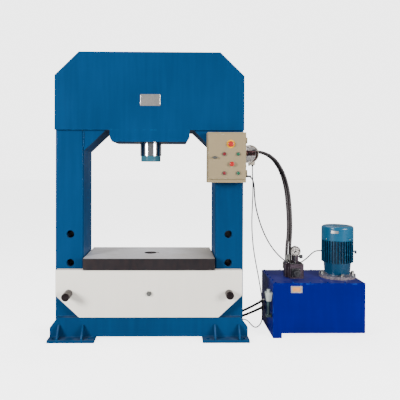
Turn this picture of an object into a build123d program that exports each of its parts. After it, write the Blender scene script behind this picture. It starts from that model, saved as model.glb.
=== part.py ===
from build123d import *
import math
import os

os.makedirs("parts", exist_ok=True)

# Sizes are in millimetres. Heights are above the floor, and places across the
# press are measured from the ram axis, which stands ram_x from the origin.

# Clearances
body_gap = 0.3          # between pieces that move apart
running_gap = 0.05      # radial, of a sliding or turning fit
fixed_gap = 0.5         # radial, of a hole that a fixed piece passes through

# Columns
column_middle = 617
column_width = 218
column_depth = 382
column_wall = 16
column_corner = 16

# Crown
crown_height = 596
crown_bottom = 1600
crown_plate = 30
crown_cover_plate = 12
crown_chamfer_x = 185
crown_chamfer_z = 180
brace_reach = 168
brace_drop = 160
brace_plate = 12
crown_web = 20
crown_web_place = 290
crown_floor = 12
column_crown_gap = 26

# Beam that carries the cylinder
beam_half = 306
beam_height = 90
beam_chamfer_x = 19
beam_chamfer_z = 33

# Base
foot_plate = 20
foot_inner = 407
foot_reach = 760
foot_depth = 640
anchor_hole = 26
anchor_inset = 42
channel_depth = 44
channel_height = 145
channel_wall = 10
channel_half = 757
channel_chamfer_x = 57
channel_chamfer_z = 75
rib_plate = 12
rib_height = 92
rib_reach = 80
rib_places = [503, 687]
rib_toe = 12

# Table
pin_middle = 610
pin_radius = 30
pin_length = 630
pin_height = 355
pin_pitch = 221
pin_holes = 3
pin_chamfer = 4
left_pin_stand_out = 120
right_pin_stand_out = 75
sleeve_wall = 10
table_plate = 50
table_side_gap = 10
table_end_gap = 16
table_bottom = 172
table_height = 361
table_chamfer_x = 180
table_chamfer_z = 167
table_web = 30
table_web_places = [-470, -120, 120, 470]
table_edge_round = 4
tie_rod_radius = 12
bolt_across_corners = 41
bolt_head = 14
bolster_half = 500
bolster_depth = 524
bolster_plate = 88
die_bore_radius = 50
lift_hole_radius = 11
lift_hole_x = 60
eye_hole_radius = 8
eye_hole_x = -395
eye_hole_y = 235

# Cylinder and ram
ram_radius = 85
ram_drop = 241
nose_radius = 79
nose_height = 46
nose_chamfer = 5
stroke = 300
bore_radius = 110
barrel_radius = 145
barrel_base = 10
barrel_end = 40
flange_radius = 190
flange_height = 40
piston_height = 80
gland_length = 70
gland_flange = 8
port_reach = 168
port_half = 22
upper_port_y = 122
lower_port_y = 160
upper_port_rise = 365
lower_port_rise = 90

# Rigid pipes and hose fittings
pipe_radius = 11
pipe_bend = 60
hose_radius = 12
bulkhead_drop = 148
fitting_nut_radius = 18
fitting_nut = 20
fitting_ferrule_radius = 15
fitting_ferrule = 44
block_nut_radius = 14
block_ferrule_radius = 13
drain_radius = 10
drain_y = 158
drain_ferrule_radius = 12
drain_nut_radius = 15
drain_nut = 12
drain_ferrule = 22
drain_sag = 8
drain_tank_z = [186, 130]
drain_column_z = [84, 45]

# Control box, on the front of the right column
box_width = 288
box_height = 376
box_depth = 130
box_drop = 398
box_wall = 2.5
door_rim_side = 4
door_rim_bottom = 28
door_rim_top = 17
door_depth = 18
door_sheet = 2
door_lap = 12
hinge_radius = 4
hinge_pin_radius = 2
hinge_length = 22
hinge_set_in = 45
panel_plate = 2
panel_margin = 20
contactor_size = [52, 40, 76]
contactor_rows = [86, -86]
contactor_pitch = 62
operator_hole = 11
bezel_radius = 15
bezel_height = 9
cap_radius = 11
cap_stand_out = 4
stem_radius = 4
button_travel = 3
contact_block = 30
contact_block_depth = 40
mushroom_radius = 21
mushroom_stand_off = 7
mushroom_height = 15
estop_ring_radius = 31
estop_ring_height = 3
estop_shift = 26
estop_rise = 287
upper_row_rise = 213
lower_row_rise = 71
left_button_shift = -22
right_button_shift = 81
ram_stop_shift = 33
ram_stop_rise = 139
latch_inset = 52
latch_rise = 187
latch_radius = 12
latch_stand_out = 10
latch_wing = 20
latch_cam = 24

# Contact gauge, beside the right column
gauge_radius = 75
gauge_depth = 55
gauge_front_y = 40
gauge_drop = 175
gauge_gap = 9
gauge_recess = 12
gauge_rim = 6
gauge_glass = 3
gauge_bracket = 8
gauge_box_width = 36
gauge_box_height = 65
gauge_box_shift = 28
gauge_box_drop = 25
gauge_stem_radius = 9

# Oil tank
tank_left = 955
tank_width = 713
tank_front = -222
tank_depth = 483
tank_foot_height = 38
tank_foot_width = 68
right_foot_set_back = 130
tank_top = 425
tank_lid_plate = 8
tank_wall = 5

# Motor, pump and shaft
motor_inset = 140
motor_y = 15
motor_flange_radius = 145
motor_flange = 24
bell_radius = 108
bell_taper = 8
bell_height = 101
frame_height = 178
frame_core_radius = 110
frame_fin_radius = 126
fin_plate = 4
fin_root = 2
fin_count = 36
end_shield = 12
cowl_radius = 126
cowl_height = 115
cowl_sheet = 3
cowl_round = 20
grille_slots = 12
grille_slot_width = 9
grille_inner = 22
grille_outer = 84
shaft_radius = 20
rotor_radius = 62
rotor_gap = 1
rotor_margin = 8
fan_radius = 104
fan_height = 42
fan_blades = 8
fan_plate = 4
flange_bolt_circle = 127
flange_bolts = 4
flange_bolt_corners = 26
flange_bolt_height = 20
eye_reach = 30
eye_rod = 7
eye_head = 10
eye_head_drop = 6
eye_height_share = 0.45
terminal_width = 120
terminal_depth = 70
terminal_height = 110
terminal_z = 640
terminal_gland_drop = 30
terminal_x = -15
pump_radius = 62
pump_height = 110
bell_housing_radius = 72
bell_housing_wall = 10
bell_housing_height = 77
strainer_radius = 40
strainer_height = 130
shaft_in_pump = 60
shaft_end_gap = 2

# Valve block on the tank lid
block_left = 1094
block_width = 138
block_front = -68
block_depth = 118
block_notch_width = 26
block_notch_depth = 50
block_height = 115
relief_left = 1157
relief_width = 40
relief_front = -30
relief_depth = 66
relief_height = 72
block_hose_places = [(1109, 8), (1139, 20)]
coil_x = 1165
coil_z = 476
coil_radius = 25
coil_length = 46
coil_base = 66
coil_base_depth = 16
coil_nut_radius = 11
coil_nut = 8
knob_radius = 15
knob_length = 24
knob_stem_radius = 6
knob_stem = 14
knob_y = -8
knob_z = 591
knob_socket = 10
dial_radius = 40
dial_depth = 28
dial_x = 1167
dial_back = -34
dial_stem_radius = 6.5
dial_stem = 63
dial_recess = 8
dial_rim = 4
dial_glass = 2
needle_plate = 1
needle_pin_radius = 2
needle_pin = 5
needle_play = 1
needle_zero = 315
breather_x = 1150
breather_inset = 71
breather_radius = 29
breather_neck_radius = 21
breather_neck = 30
breather_cap = 58
breather_socket = 20
breather_round = 8

# Oil level gauge on the left face of the tank
level_y = -165
level_head_width = 56
level_head_reach = 52
level_head_bottom = 274
level_head_height = 68
level_head_taper = 9
level_tube_radius = 14
level_cap = 22
level_foot_height = 20
level_foot_bottom = 150

# Cable glands
cable_gland_radius = 10
cable_gland = 12
box_gland_rise = 46
plug_gland_rise = 124
box_gland_y = -250
column_gland_y = -40
column_gland_z = 90

# Cords
power_cable_radius = 5
signal_cable_radius = 4.5

# Values that follow from those above
column_outer = column_middle + column_width / 2
column_inner = column_middle - column_width / 2
column_face = column_depth / 2
crown_top = crown_bottom + crown_height
column_top = crown_top - crown_chamfer_z - column_crown_gap
beam_bottom = crown_bottom - beam_height
ram_bottom = crown_bottom - ram_drop
upper_port_z = crown_bottom + upper_port_rise
lower_port_z = crown_bottom + lower_port_rise
bulkhead_z = crown_bottom - bulkhead_drop
gauge_z = crown_bottom - gauge_drop
box_bottom = crown_bottom - box_drop
box_gland_z = box_bottom + box_gland_rise
plug_gland_z = box_bottom + plug_gland_rise
estop_z = box_bottom + estop_rise
upper_row_z = box_bottom + upper_row_rise
lower_row_z = box_bottom + lower_row_rise
ram_stop_z = box_bottom + ram_stop_rise
latch_z = box_bottom + latch_rise
table_back = column_face + table_side_gap
table_half = column_outer - table_end_gap
table_face = table_back + table_plate
table_top = table_bottom + table_height
bolster_top = table_top + bolster_plate
channel_face = column_face + channel_depth
motor_x = tank_left + tank_width - motor_inset
frame_bottom = tank_top + motor_flange + bell_height
frame_top = frame_bottom + frame_height
cowl_top = frame_top + cowl_height
unit_reach = motor_x + frame_fin_radius + eye_reach
ram_x = (foot_reach - unit_reach) / 2
box_right = column_outer
box_left = box_right - box_width
box_front = column_face + box_depth
box_middle_z = box_bottom + box_height / 2
box_middle_x = (box_left + box_right) / 2
latch_x = box_left + latch_inset
estop_x = box_middle_x + estop_shift
ram_stop_x = box_middle_x + ram_stop_shift
left_button_x = box_middle_x + left_button_shift
right_button_x = box_middle_x + right_button_shift
door_back = box_front + body_gap
door_front = door_back + door_depth
gauge_x = column_outer + gauge_gap + gauge_radius
dial_z = tank_top + block_height + dial_stem + dial_radius
tank_middle_y = tank_front + tank_depth / 2
tank_middle_x = tank_left + tank_width / 2
breather_y = tank_front + tank_depth - breather_inset

floor = Plane(origin=(ram_x, 0, 0), x_dir=(1, 0, 0), z_dir=(0, 0, 1))
front = Plane(origin=(ram_x, 0, 0), x_dir=(1, 0, 0), z_dir=(0, -1, 0))
side = Plane(origin=(ram_x, 0, 0), x_dir=(0, 1, 0), z_dir=(1, 0, 0))


def keep(piece, name):
    piece.part.label = name
    export_step(piece.part, f"parts/{name}.step")


def chamfered_outline(half, bottom, top, cut_x, cut_z, inset, upper):
    # Half-width, ends and corner cuts of a plate seen from the front, drawn in by inset
    slant = math.hypot(cut_x, cut_z)
    edge = half - inset
    cut_at = cut_z + inset * (slant - cut_z) / cut_x
    flat = half - cut_x + inset * (cut_x - slant) / cut_z
    cut, square = (top - cut_at, bottom + inset) if upper else (bottom + cut_at, top - inset)
    end = top - inset if upper else bottom + inset
    return [(-edge, square), (-edge, cut), (-flat, end), (flat, end), (edge, cut), (edge, square)]


# Columns: box sections with rounded corners, sleeves for the pins and holes for the pipes
pin_levels = [pin_height + step * pin_pitch for step in range(pin_holes)]


def column(middle, pin_x, pipe_openings):
    with BuildPart() as post:
        with BuildSketch(floor.offset(foot_plate)):
            with Locations((middle, 0)):
                RectangleRounded(column_width, column_depth, column_corner)
                Rectangle(
                    column_width - 2 * column_wall, column_depth - 2 * column_wall, mode=Mode.SUBTRACT
                )
        extrude(amount=column_top - foot_plate)
        with BuildSketch(front.offset(-column_face)):
            with Locations([(pin_x, level) for level in pin_levels]):
                Circle(pin_radius + sleeve_wall)
        extrude(amount=column_depth)
        with BuildSketch(front.offset(-column_face)):
            with Locations([(pin_x, level) for level in pin_levels]):
                Circle(pin_radius + running_gap)
        extrude(amount=column_depth, mode=Mode.SUBTRACT)
        for wall_x, places in pipe_openings:
            with BuildSketch(side.offset(wall_x)):
                with Locations(*places):
                    Circle(pipe_radius + fixed_gap)
            extrude(amount=column_wall, mode=Mode.SUBTRACT)
    return post


keep(column(-column_middle, -pin_middle, []), "left_column")
port_places = [(upper_port_y, upper_port_z), (lower_port_y, lower_port_z)]
bulkhead_places = [(upper_port_y, bulkhead_z), (lower_port_y, bulkhead_z)]
pipe_openings = [(column_inner, port_places), (column_outer - column_wall, bulkhead_places)]
keep(column(column_middle, pin_middle, pipe_openings), "right_column")

# Crown: a front and a rear plate lap over the columns, and a folded cover joins them
crown_shape = (column_outer, crown_bottom, crown_top, crown_chamfer_x, crown_chamfer_z)
for name, plane in (
    ("crown_front_plate", front.offset(column_face)),
    ("crown_rear_plate", front.offset(-column_face - crown_plate)),
):
    with BuildPart() as crown_side_plate:
        with BuildSketch(plane):
            with BuildLine():
                Polyline(*chamfered_outline(*crown_shape, 0, True), close=True)
            make_face()
        extrude(amount=crown_plate)
    keep(crown_side_plate, name)

with BuildPart() as crown_cover:
    with BuildSketch(front.offset(-column_face)):
        with BuildLine():
            Polyline(*chamfered_outline(*crown_shape, 0, True), close=True)
        make_face()
        with BuildLine():
            Polyline(*chamfered_outline(*crown_shape, crown_cover_plate, True), close=True)
        make_face(mode=Mode.SUBTRACT)
        with Locations((0, crown_bottom)):
            Rectangle(
                2 * column_outer, column_top - crown_bottom,
                align=(Align.CENTER, Align.MIN), mode=Mode.SUBTRACT,
            )
    extrude(amount=column_depth)
keep(crown_cover, "crown_cover")

# Webs inside the crown, and the strips that close its underside up to the braces
web_top = crown_top - crown_cover_plate
floor_reach = column_inner - crown_web_place - crown_web / 2
with BuildPart() as crown_webs:
    with BuildSketch(floor.offset(crown_bottom)):
        with Locations((-crown_web_place, 0), (crown_web_place, 0)):
            Rectangle(crown_web, column_depth)
    extrude(amount=web_top - crown_bottom)
    with BuildSketch(floor.offset(crown_bottom)):
        for turn in (-1, 1):
            with Locations((turn * (column_inner - floor_reach / 2), 0)):
                Rectangle(floor_reach, column_depth)
    extrude(amount=crown_floor)
    with BuildSketch(side.offset(crown_web_place - crown_web / 2)):
        with Locations(*port_places):
            Circle(pipe_radius + fixed_gap)
    extrude(amount=crown_web, mode=Mode.SUBTRACT)
keep(crown_webs, "crown_webs")

# Hollow braces in the corners between the columns and the crown
with BuildPart() as corner_braces:
    for turn in (-1, 1):
        corner = (turn * column_inner, crown_bottom)
        with BuildSketch(front.offset(-column_face)):
            with BuildLine():
                Polyline(
                    corner,
                    (turn * column_inner, crown_bottom - brace_drop),
                    (turn * (column_inner - brace_reach), crown_bottom),
                    close=True,
                )
            make_face()
        extrude(amount=column_depth)
        with BuildSketch(front.offset(-column_face + brace_plate)):
            with BuildLine():
                Polyline(
                    (turn * (column_inner - brace_plate), crown_bottom - brace_plate),
                    (turn * (column_inner - brace_plate), crown_bottom - brace_drop + 3 * brace_plate),
                    (turn * (column_inner - brace_reach + 3 * brace_plate), crown_bottom - brace_plate),
                    close=True,
                )
            make_face()
        extrude(amount=column_depth - 2 * brace_plate, mode=Mode.SUBTRACT)
keep(corner_braces, "corner_braces")

# Beam under the crown, bored for the cylinder
with BuildPart() as cylinder_beam:
    with BuildSketch(front.offset(-column_face - crown_plate)):
        with BuildLine():
            Polyline(
                *chamfered_outline(
                    beam_half, beam_bottom, crown_bottom, beam_chamfer_x, beam_chamfer_z, 0, False
                ),
                close=True,
            )
        make_face()
    extrude(amount=column_depth + 2 * crown_plate)
    with BuildSketch(floor.offset(beam_bottom)):
        Circle(barrel_radius + fixed_gap)
    extrude(amount=beam_height, mode=Mode.SUBTRACT)
keep(cylinder_beam, "cylinder_beam")

# Base: a folded channel in front and behind, on plates stiffened by ribs
channel_shape = (
    channel_half, foot_plate, foot_plate + channel_height, channel_chamfer_x, channel_chamfer_z
)
with BuildPart() as base_channels:
    for reach in (1, -1):
        outer = front.offset(column_face if reach > 0 else -channel_face)
        with BuildSketch(outer):
            with BuildLine():
                Polyline(*chamfered_outline(*channel_shape, 0, True), close=True)
            make_face()
        extrude(amount=channel_depth)
        hollow_start = column_face if reach > 0 else -channel_face + channel_wall
        with BuildSketch(front.offset(hollow_start)):
            with BuildLine():
                Polyline(*chamfered_outline(*channel_shape, channel_wall, True), close=True)
            make_face()
        extrude(amount=channel_depth - channel_wall, mode=Mode.SUBTRACT)
keep(base_channels, "base_channels")

# Feet: a plate under each column with anchor holes, and ribs welded against the channels
foot_middle = (foot_inner + foot_reach) / 2
rib_start = channel_face
with BuildPart() as feet:
    with BuildSketch(floor):
        for turn in (-1, 1):
            with Locations((turn * foot_middle, 0)):
                Rectangle(foot_reach - foot_inner, foot_depth)
                with GridLocations(
                    foot_reach - foot_inner - 2 * anchor_inset, foot_depth - 2 * anchor_inset, 2, 2
                ):
                    Circle(anchor_hole / 2, mode=Mode.SUBTRACT)
    extrude(amount=foot_plate)
    for rib_x in [turn * place for turn in (-1, 1) for place in rib_places]:
        with BuildSketch(side.offset(rib_x - rib_plate / 2)):
            for reach in (-1, 1):
                with BuildLine():
                    Polyline(
                        (reach * rib_start, foot_plate),
                        (reach * (rib_start + rib_reach), foot_plate),
                        (reach * (rib_start + rib_reach), foot_plate + rib_toe),
                        (reach * (rib_start + rib_toe), foot_plate + rib_height),
                        (reach * rib_start, foot_plate + rib_height),
                        close=True,
                    )
                make_face()
        extrude(amount=rib_plate)
keep(feet, "feet")

# Table: two side plates outside the columns, webs between them, and the bolster on top
table_shape = (table_half, table_bottom, table_top, table_chamfer_x, table_chamfer_z)
for name, plane in (
    ("front_table_plate", front.offset(table_back)),
    ("rear_table_plate", front.offset(-table_face)),
):
    with BuildPart() as table_side_plate:
        with BuildSketch(plane):
            with BuildLine():
                Polyline(*chamfered_outline(*table_shape, 0, False), close=True)
            make_face()
            with Locations((-pin_middle, pin_height), (pin_middle, pin_height)):
                Circle(pin_radius + running_gap, mode=Mode.SUBTRACT)
            with Locations((0, pin_height)):
                Circle(tie_rod_radius, mode=Mode.SUBTRACT)
        extrude(amount=table_plate)
        chamfer(table_side_plate.edges().filter_by(Axis.Y), table_edge_round)
    keep(table_side_plate, name)

with BuildPart() as table_webs:
    with BuildSketch(floor.offset(table_bottom)):
        with Locations([(x, 0) for x in table_web_places]):
            Rectangle(table_web, 2 * table_back)
    extrude(amount=table_height)
keep(table_webs, "table_webs")

with BuildPart() as bolster:
    with BuildSketch(floor.offset(table_top)):
        Rectangle(2 * bolster_half, bolster_depth)
    extrude(amount=bolster_plate)
    with Locations((ram_x, 0, bolster_top)):
        Hole(die_bore_radius, bolster_plate)
    with Locations((ram_x + lift_hole_x, 0, bolster_top)):
        Hole(lift_hole_radius, bolster_plate / 2)
    with Locations((ram_x + eye_hole_x, eye_hole_y, bolster_top)):
        Hole(eye_hole_radius, bolster_plate / 2)
keep(bolster, "bolster_plate")

# Pins that carry the table, each through both plates and one sleeve
for name, x, stand_out in (
    ("left_table_pin", -pin_middle, left_pin_stand_out),
    ("right_table_pin", pin_middle, right_pin_stand_out),
):
    with BuildPart() as table_pin:
        with BuildSketch(front.offset(table_face + stand_out - pin_length)):
            with Locations((x, pin_height)):
                Circle(pin_radius)
        extrude(amount=pin_length)
        chamfer(table_pin.edges().filter_by(GeomType.CIRCLE), pin_chamfer)
    keep(table_pin, name)

# Cylinder: a blind barrel hung by its flange on the beam, with a gland at its mouth
barrel_bottom = beam_bottom + barrel_base
gland_top = barrel_bottom + gland_length
piston_bottom = gland_top + stroke + barrel_base
bore_top = piston_bottom + piston_height + barrel_base
with BuildPart() as cylinder_barrel:
    with BuildSketch(floor.offset(barrel_bottom)):
        Circle(barrel_radius)
    extrude(amount=bore_top + barrel_end - barrel_bottom)
    with BuildSketch(floor.offset(crown_bottom)):
        Circle(flange_radius)
    extrude(amount=flange_height)
    for port_y, port_z in ((upper_port_y, upper_port_z), (lower_port_y, lower_port_z)):
        with BuildSketch(side):
            with Locations((port_y, port_z)):
                Rectangle(2 * port_half, 2 * port_half)
        extrude(amount=port_reach)
    with BuildSketch(floor.offset(barrel_bottom)):
        Circle(bore_radius)
    extrude(amount=bore_top - barrel_bottom, mode=Mode.SUBTRACT)
keep(cylinder_barrel, "cylinder_barrel")

with BuildPart() as cylinder_gland:
    with BuildSketch(floor.offset(barrel_bottom - gland_flange)):
        Circle(barrel_radius - fixed_gap)
    extrude(amount=gland_flange)
    with BuildSketch(floor.offset(barrel_bottom)):
        Circle(bore_radius)
    extrude(amount=gland_length)
    with BuildSketch(floor.offset(barrel_bottom - gland_flange)):
        Circle(ram_radius + running_gap)
    extrude(amount=gland_flange + gland_length, mode=Mode.SUBTRACT)
keep(cylinder_gland, "cylinder_gland")

with BuildPart() as ram:
    with BuildSketch(floor.offset(ram_bottom + nose_height)):
        Circle(ram_radius)
    extrude(amount=piston_bottom - ram_bottom - nose_height)
    with BuildSketch(floor.offset(piston_bottom)):
        Circle(bore_radius - running_gap)
    extrude(amount=piston_height)
keep(ram, "ram")

with BuildPart() as ram_nose:
    with BuildSketch(floor.offset(ram_bottom)):
        Circle(nose_radius)
    extrude(amount=nose_height)
    chamfer(ram_nose.edges().sort_by(Axis.Z)[0], nose_chamfer)
keep(ram_nose, "ram_nose")

# Steel pipes from the ports through the crown and down inside the right column
with BuildPart() as cylinder_pipes:
    for port_y, port_z, end_z in (
        (upper_port_y, upper_port_z, bulkhead_z),
        (lower_port_y, lower_port_z, bulkhead_z),
    ):
        start = Vector(ram_x + port_reach, port_y, port_z)
        with BuildLine() as pipe_route:
            FilletPolyline(
                start,
                (ram_x + column_middle, port_y, port_z),
                (ram_x + column_middle, port_y, end_z),
                (ram_x + column_outer, port_y, end_z),
                radius=pipe_bend,
            )
        with BuildSketch(Plane(origin=start, z_dir=(1, 0, 0))):
            Circle(pipe_radius)
        sweep(path=pipe_route.line)
keep(cylinder_pipes, "cylinder_pipes")


# Drain hoses sag between fittings whose ferrules are turned towards the sag
drain_routes = []
drain_directions = []
for tank_z, column_z in zip(drain_tank_z, drain_column_z):
    tank_elbow = Vector(tank_left - drain_nut, drain_y, tank_z)
    column_elbow = Vector(column_outer + drain_nut, drain_y, column_z)
    middle = (tank_elbow + column_elbow) / 2 - Vector(0, 0, drain_sag)
    tank_way = (middle - tank_elbow).normalized()
    column_way = (middle - column_elbow).normalized()
    drain_directions.append((tank_way, column_way))
    drain_routes.append(
        [tank_elbow + tank_way * drain_ferrule, middle, column_elbow + column_way * drain_ferrule]
    )

# Hose fittings: a hexagon nut against the face, an elbow where one is needed, and the ferrule
hose_fitting = (fitting_nut_radius, fitting_nut, fitting_ferrule_radius, fitting_ferrule)
block_fitting = (block_nut_radius, fitting_nut, block_ferrule_radius, fitting_ferrule)
drain_fitting = (drain_nut_radius, drain_nut, drain_ferrule_radius, drain_ferrule)
block_top = tank_top + block_height
fitting_places = [
    ((column_outer, upper_port_y, bulkhead_z), (1, 0, 0), (1, 0, 0), hose_fitting),
    ((column_outer, lower_port_y, bulkhead_z), (1, 0, 0), (1, 0, 0), hose_fitting),
]
for x, y in block_hose_places:
    fitting_places.append(((x, y, block_top), (0, 0, 1), (0, 0, 1), block_fitting))
for tank_z, column_z, (tank_way, column_way) in zip(drain_tank_z, drain_column_z, drain_directions):
    fitting_places.append(((tank_left, drain_y, tank_z), (-1, 0, 0), tank_way, drain_fitting))
    fitting_places.append(((column_outer, drain_y, column_z), (1, 0, 0), column_way, drain_fitting))
with BuildPart() as hose_fittings:
    for (x, y, z), direction, way, (nut_radius, nut, ferrule_radius, ferrule) in fitting_places:
        nut_face = Plane(origin=(ram_x + x, y, z), z_dir=direction)
        elbow = nut_face.origin + nut_face.z_dir * nut
        with BuildSketch(nut_face):
            RegularPolygon(nut_radius, 6)
        extrude(amount=nut)
        with Locations(elbow):
            Sphere(ferrule_radius)
        with BuildSketch(Plane(origin=elbow, z_dir=way)):
            Circle(ferrule_radius)
        extrude(amount=ferrule)
keep(hose_fittings, "hose_fittings")

# Control box: a folded box with a lip round its opening, and its door on lift-off hinges
door_width = box_width - 2 * door_rim_side
door_height = box_height - door_rim_bottom - door_rim_top
door_middle_z = box_bottom + door_rim_bottom + door_height / 2
hinge_x = box_right + hinge_radius
hinge_y = -door_back - hinge_radius
hinge_levels = [
    door_middle_z + end * (door_height / 2 - hinge_set_in) - hinge_length for end in (-1, 1)
]
with BuildPart() as control_box:
    with BuildSketch(front.offset(column_face)):
        with Locations((box_middle_x, box_middle_z)):
            Rectangle(box_width, box_height)
    extrude(amount=box_depth)
    with BuildSketch(front.offset(column_face + box_wall)):
        with Locations((box_middle_x, box_middle_z)):
            Rectangle(box_width - 2 * box_wall, box_height - 2 * box_wall)
    extrude(amount=box_depth - 2 * box_wall, mode=Mode.SUBTRACT)
    with BuildSketch(front.offset(box_front)):
        with Locations((box_middle_x, door_middle_z)):
            Rectangle(door_width - 2 * door_lap, door_height - 2 * door_lap)
    extrude(amount=-box_wall, mode=Mode.SUBTRACT)
    for knuckle_z in hinge_levels:
        with BuildSketch(floor.offset(knuckle_z)):
            with Locations((hinge_x, hinge_y)):
                Circle(hinge_radius)
            with Locations((box_right, hinge_y)):
                Rectangle(2 * hinge_radius, 4 * hinge_radius, align=Align.MIN)
        extrude(amount=hinge_length)
        with BuildSketch(floor.offset(knuckle_z + hinge_length)):
            with Locations((hinge_x, hinge_y)):
                Circle(hinge_pin_radius)
        extrude(amount=hinge_length)
keep(control_box, "control_box")

with BuildPart() as control_door:
    with BuildSketch(front.offset(door_back)):
        with Locations((box_middle_x, door_middle_z)):
            Rectangle(door_width, door_height)
    extrude(amount=door_depth)
    fillet(control_door.edges().filter_by(Axis.Z).group_by(Axis.Y)[0], door_sheet)
    with BuildSketch(front.offset(door_back)):
        with Locations((box_middle_x, door_middle_z)):
            Rectangle(door_width - 2 * door_sheet, door_height - 2 * door_sheet)
    extrude(amount=door_depth - door_sheet, mode=Mode.SUBTRACT)
    with BuildSketch(front.offset(door_back)):
        with Locations(
            (estop_x, estop_z),
            (left_button_x, upper_row_z),
            (right_button_x, upper_row_z),
            (ram_stop_x, ram_stop_z),
            (left_button_x, lower_row_z),
            (right_button_x, lower_row_z),
            (latch_x, latch_z),
        ):
            Circle(operator_hole)
    extrude(amount=door_depth, mode=Mode.SUBTRACT)
    for knuckle_z in hinge_levels:
        with BuildSketch(floor.offset(knuckle_z + hinge_length + body_gap)):
            with Locations((hinge_x, hinge_y)):
                Circle(hinge_radius)
            with Locations((hinge_x, hinge_y - hinge_radius)):
                Rectangle(
                    hinge_radius + door_rim_side + door_sheet / 2, door_sheet,
                    align=(Align.MAX, Align.MIN),
                )
            with Locations((hinge_x, hinge_y)):
                Circle(hinge_pin_radius + running_gap, mode=Mode.SUBTRACT)
        extrude(amount=hinge_length + body_gap)
keep(control_door, "control_door")

with BuildPart() as contactor_panel:
    with BuildSketch(front.offset(column_face + box_wall)):
        with Locations((box_middle_x, box_middle_z)):
            Rectangle(box_width - 2 * panel_margin, box_height - 2 * panel_margin)
    extrude(amount=panel_plate)
    with BuildSketch(front.offset(column_face + box_wall + panel_plate)):
        for row_z in contactor_rows:
            with Locations((box_middle_x, box_middle_z + row_z)):
                with GridLocations(contactor_pitch, 0, 3, 1):
                    Rectangle(contactor_size[0], contactor_size[2])
    extrude(amount=contactor_size[1])
keep(contactor_panel, "contactor_panel")

button_places = [
    (left_button_x, upper_row_z),
    (right_button_x, upper_row_z),
    (left_button_x, lower_row_z),
    (right_button_x, lower_row_z),
]
stop_place = (ram_stop_x, ram_stop_z)
estop_place = (estop_x, estop_z)
with BuildPart() as button_bezels:
    with BuildSketch(front.offset(door_front)):
        with Locations(*button_places, stop_place):
            Circle(bezel_radius)
    extrude(amount=bezel_height)
    chamfer(button_bezels.faces().sort_by(Axis.Y)[:5].edges(), 1)
    with BuildSketch(front.offset(door_front)):
        with Locations(*button_places, stop_place):
            Circle(cap_radius + body_gap)
    extrude(amount=bezel_height, mode=Mode.SUBTRACT)
    with BuildSketch(front.offset(door_front)):
        with Locations(estop_place):
            Circle(estop_ring_radius)
            Circle(operator_hole, mode=Mode.SUBTRACT)
    extrude(amount=estop_ring_height)
keep(button_bezels, "button_bezels")

with BuildPart() as contact_blocks:
    with BuildSketch(front.offset(door_front - door_sheet - contact_block_depth)):
        with Locations(*button_places, stop_place, estop_place):
            Rectangle(contact_block, contact_block)
            Circle(stem_radius + body_gap, mode=Mode.SUBTRACT)
    extrude(amount=contact_block_depth)
keep(contact_blocks, "contact_blocks")

stem_length = door_sheet + contact_block_depth - 2 * button_travel
for name, place in zip(
    ("pump_stop_button", "pump_start_button", "ram_down_button", "ram_up_button"), button_places
):
    with BuildPart() as push_button:
        with BuildSketch(front.offset(door_front - stem_length)):
            with Locations(place):
                Circle(stem_radius)
        extrude(amount=stem_length + button_travel + 1)
        with BuildSketch(front.offset(door_front + button_travel + 1)):
            with Locations(place):
                Circle(cap_radius)
        extrude(amount=bezel_height + cap_stand_out - button_travel - 1)
        fillet(push_button.faces().sort_by(Axis.Y)[0].edges(), 1.5)
    keep(push_button, name)


def mushroom(place, radius, stand_off, height):
    # A domed head on a neck, with the stem that works the contacts
    with BuildPart() as head:
        with BuildSketch(front.offset(door_front - stem_length)):
            with Locations(place):
                Circle(stem_radius)
        extrude(amount=stem_length + stand_off)
        with BuildSketch(front.offset(door_front + stand_off)):
            with Locations(place):
                Circle(radius)
        extrude(amount=height)
        fillet(head.faces().sort_by(Axis.Y)[0].edges(), height / 2)
    return head


estop_button = mushroom(estop_place, mushroom_radius, mushroom_stand_off, mushroom_height)
keep(estop_button, "estop_button")

ram_stop_button = mushroom(stop_place, mushroom_radius - 3, bezel_height + button_travel + 1, 10)
keep(ram_stop_button, "ram_stop_button")

with BuildPart() as door_latch:
    with BuildSketch(front.offset(door_front)):
        with Locations((latch_x, latch_z)):
            Circle(latch_radius)
    extrude(amount=latch_stand_out)
    chamfer(door_latch.faces().sort_by(Axis.Y)[0].edges(), 1.5)
    with BuildSketch(front.offset(door_front + latch_stand_out)):
        with Locations((latch_x, latch_z)):
            SlotOverall(2 * latch_wing, latch_radius)
    extrude(amount=latch_stand_out)
    with BuildSketch(front.offset(door_back)):
        with Locations((latch_x, latch_z)):
            Circle(operator_hole - running_gap)
    extrude(amount=door_depth)
    with BuildSketch(front.offset(door_back - 3)):
        with Locations((latch_x, latch_z)):
            Circle(operator_hole)
        with Locations((latch_x, latch_z - latch_cam / 2)):
            Rectangle(operator_hole, latch_cam)
    extrude(amount=3)
keep(door_latch, "door_latch")


# Gauges: a case with a recessed dial, a glass and a needle on a pin
def gauge_case(place, back, radius, depth, recess, rim):
    with BuildPart() as case:
        with BuildSketch(front.offset(back)):
            with Locations(place):
                Circle(radius)
        extrude(amount=depth)
        with BuildSketch(front.offset(back + depth - recess)):
            with Locations(place):
                Circle(radius - rim)
        extrude(amount=recess, mode=Mode.SUBTRACT)
        with BuildSketch(front.offset(back + depth - recess - needle_pin)):
            with Locations(place):
                Circle(needle_pin_radius + running_gap)
        extrude(amount=needle_pin, mode=Mode.SUBTRACT)
    return case.part


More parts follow.
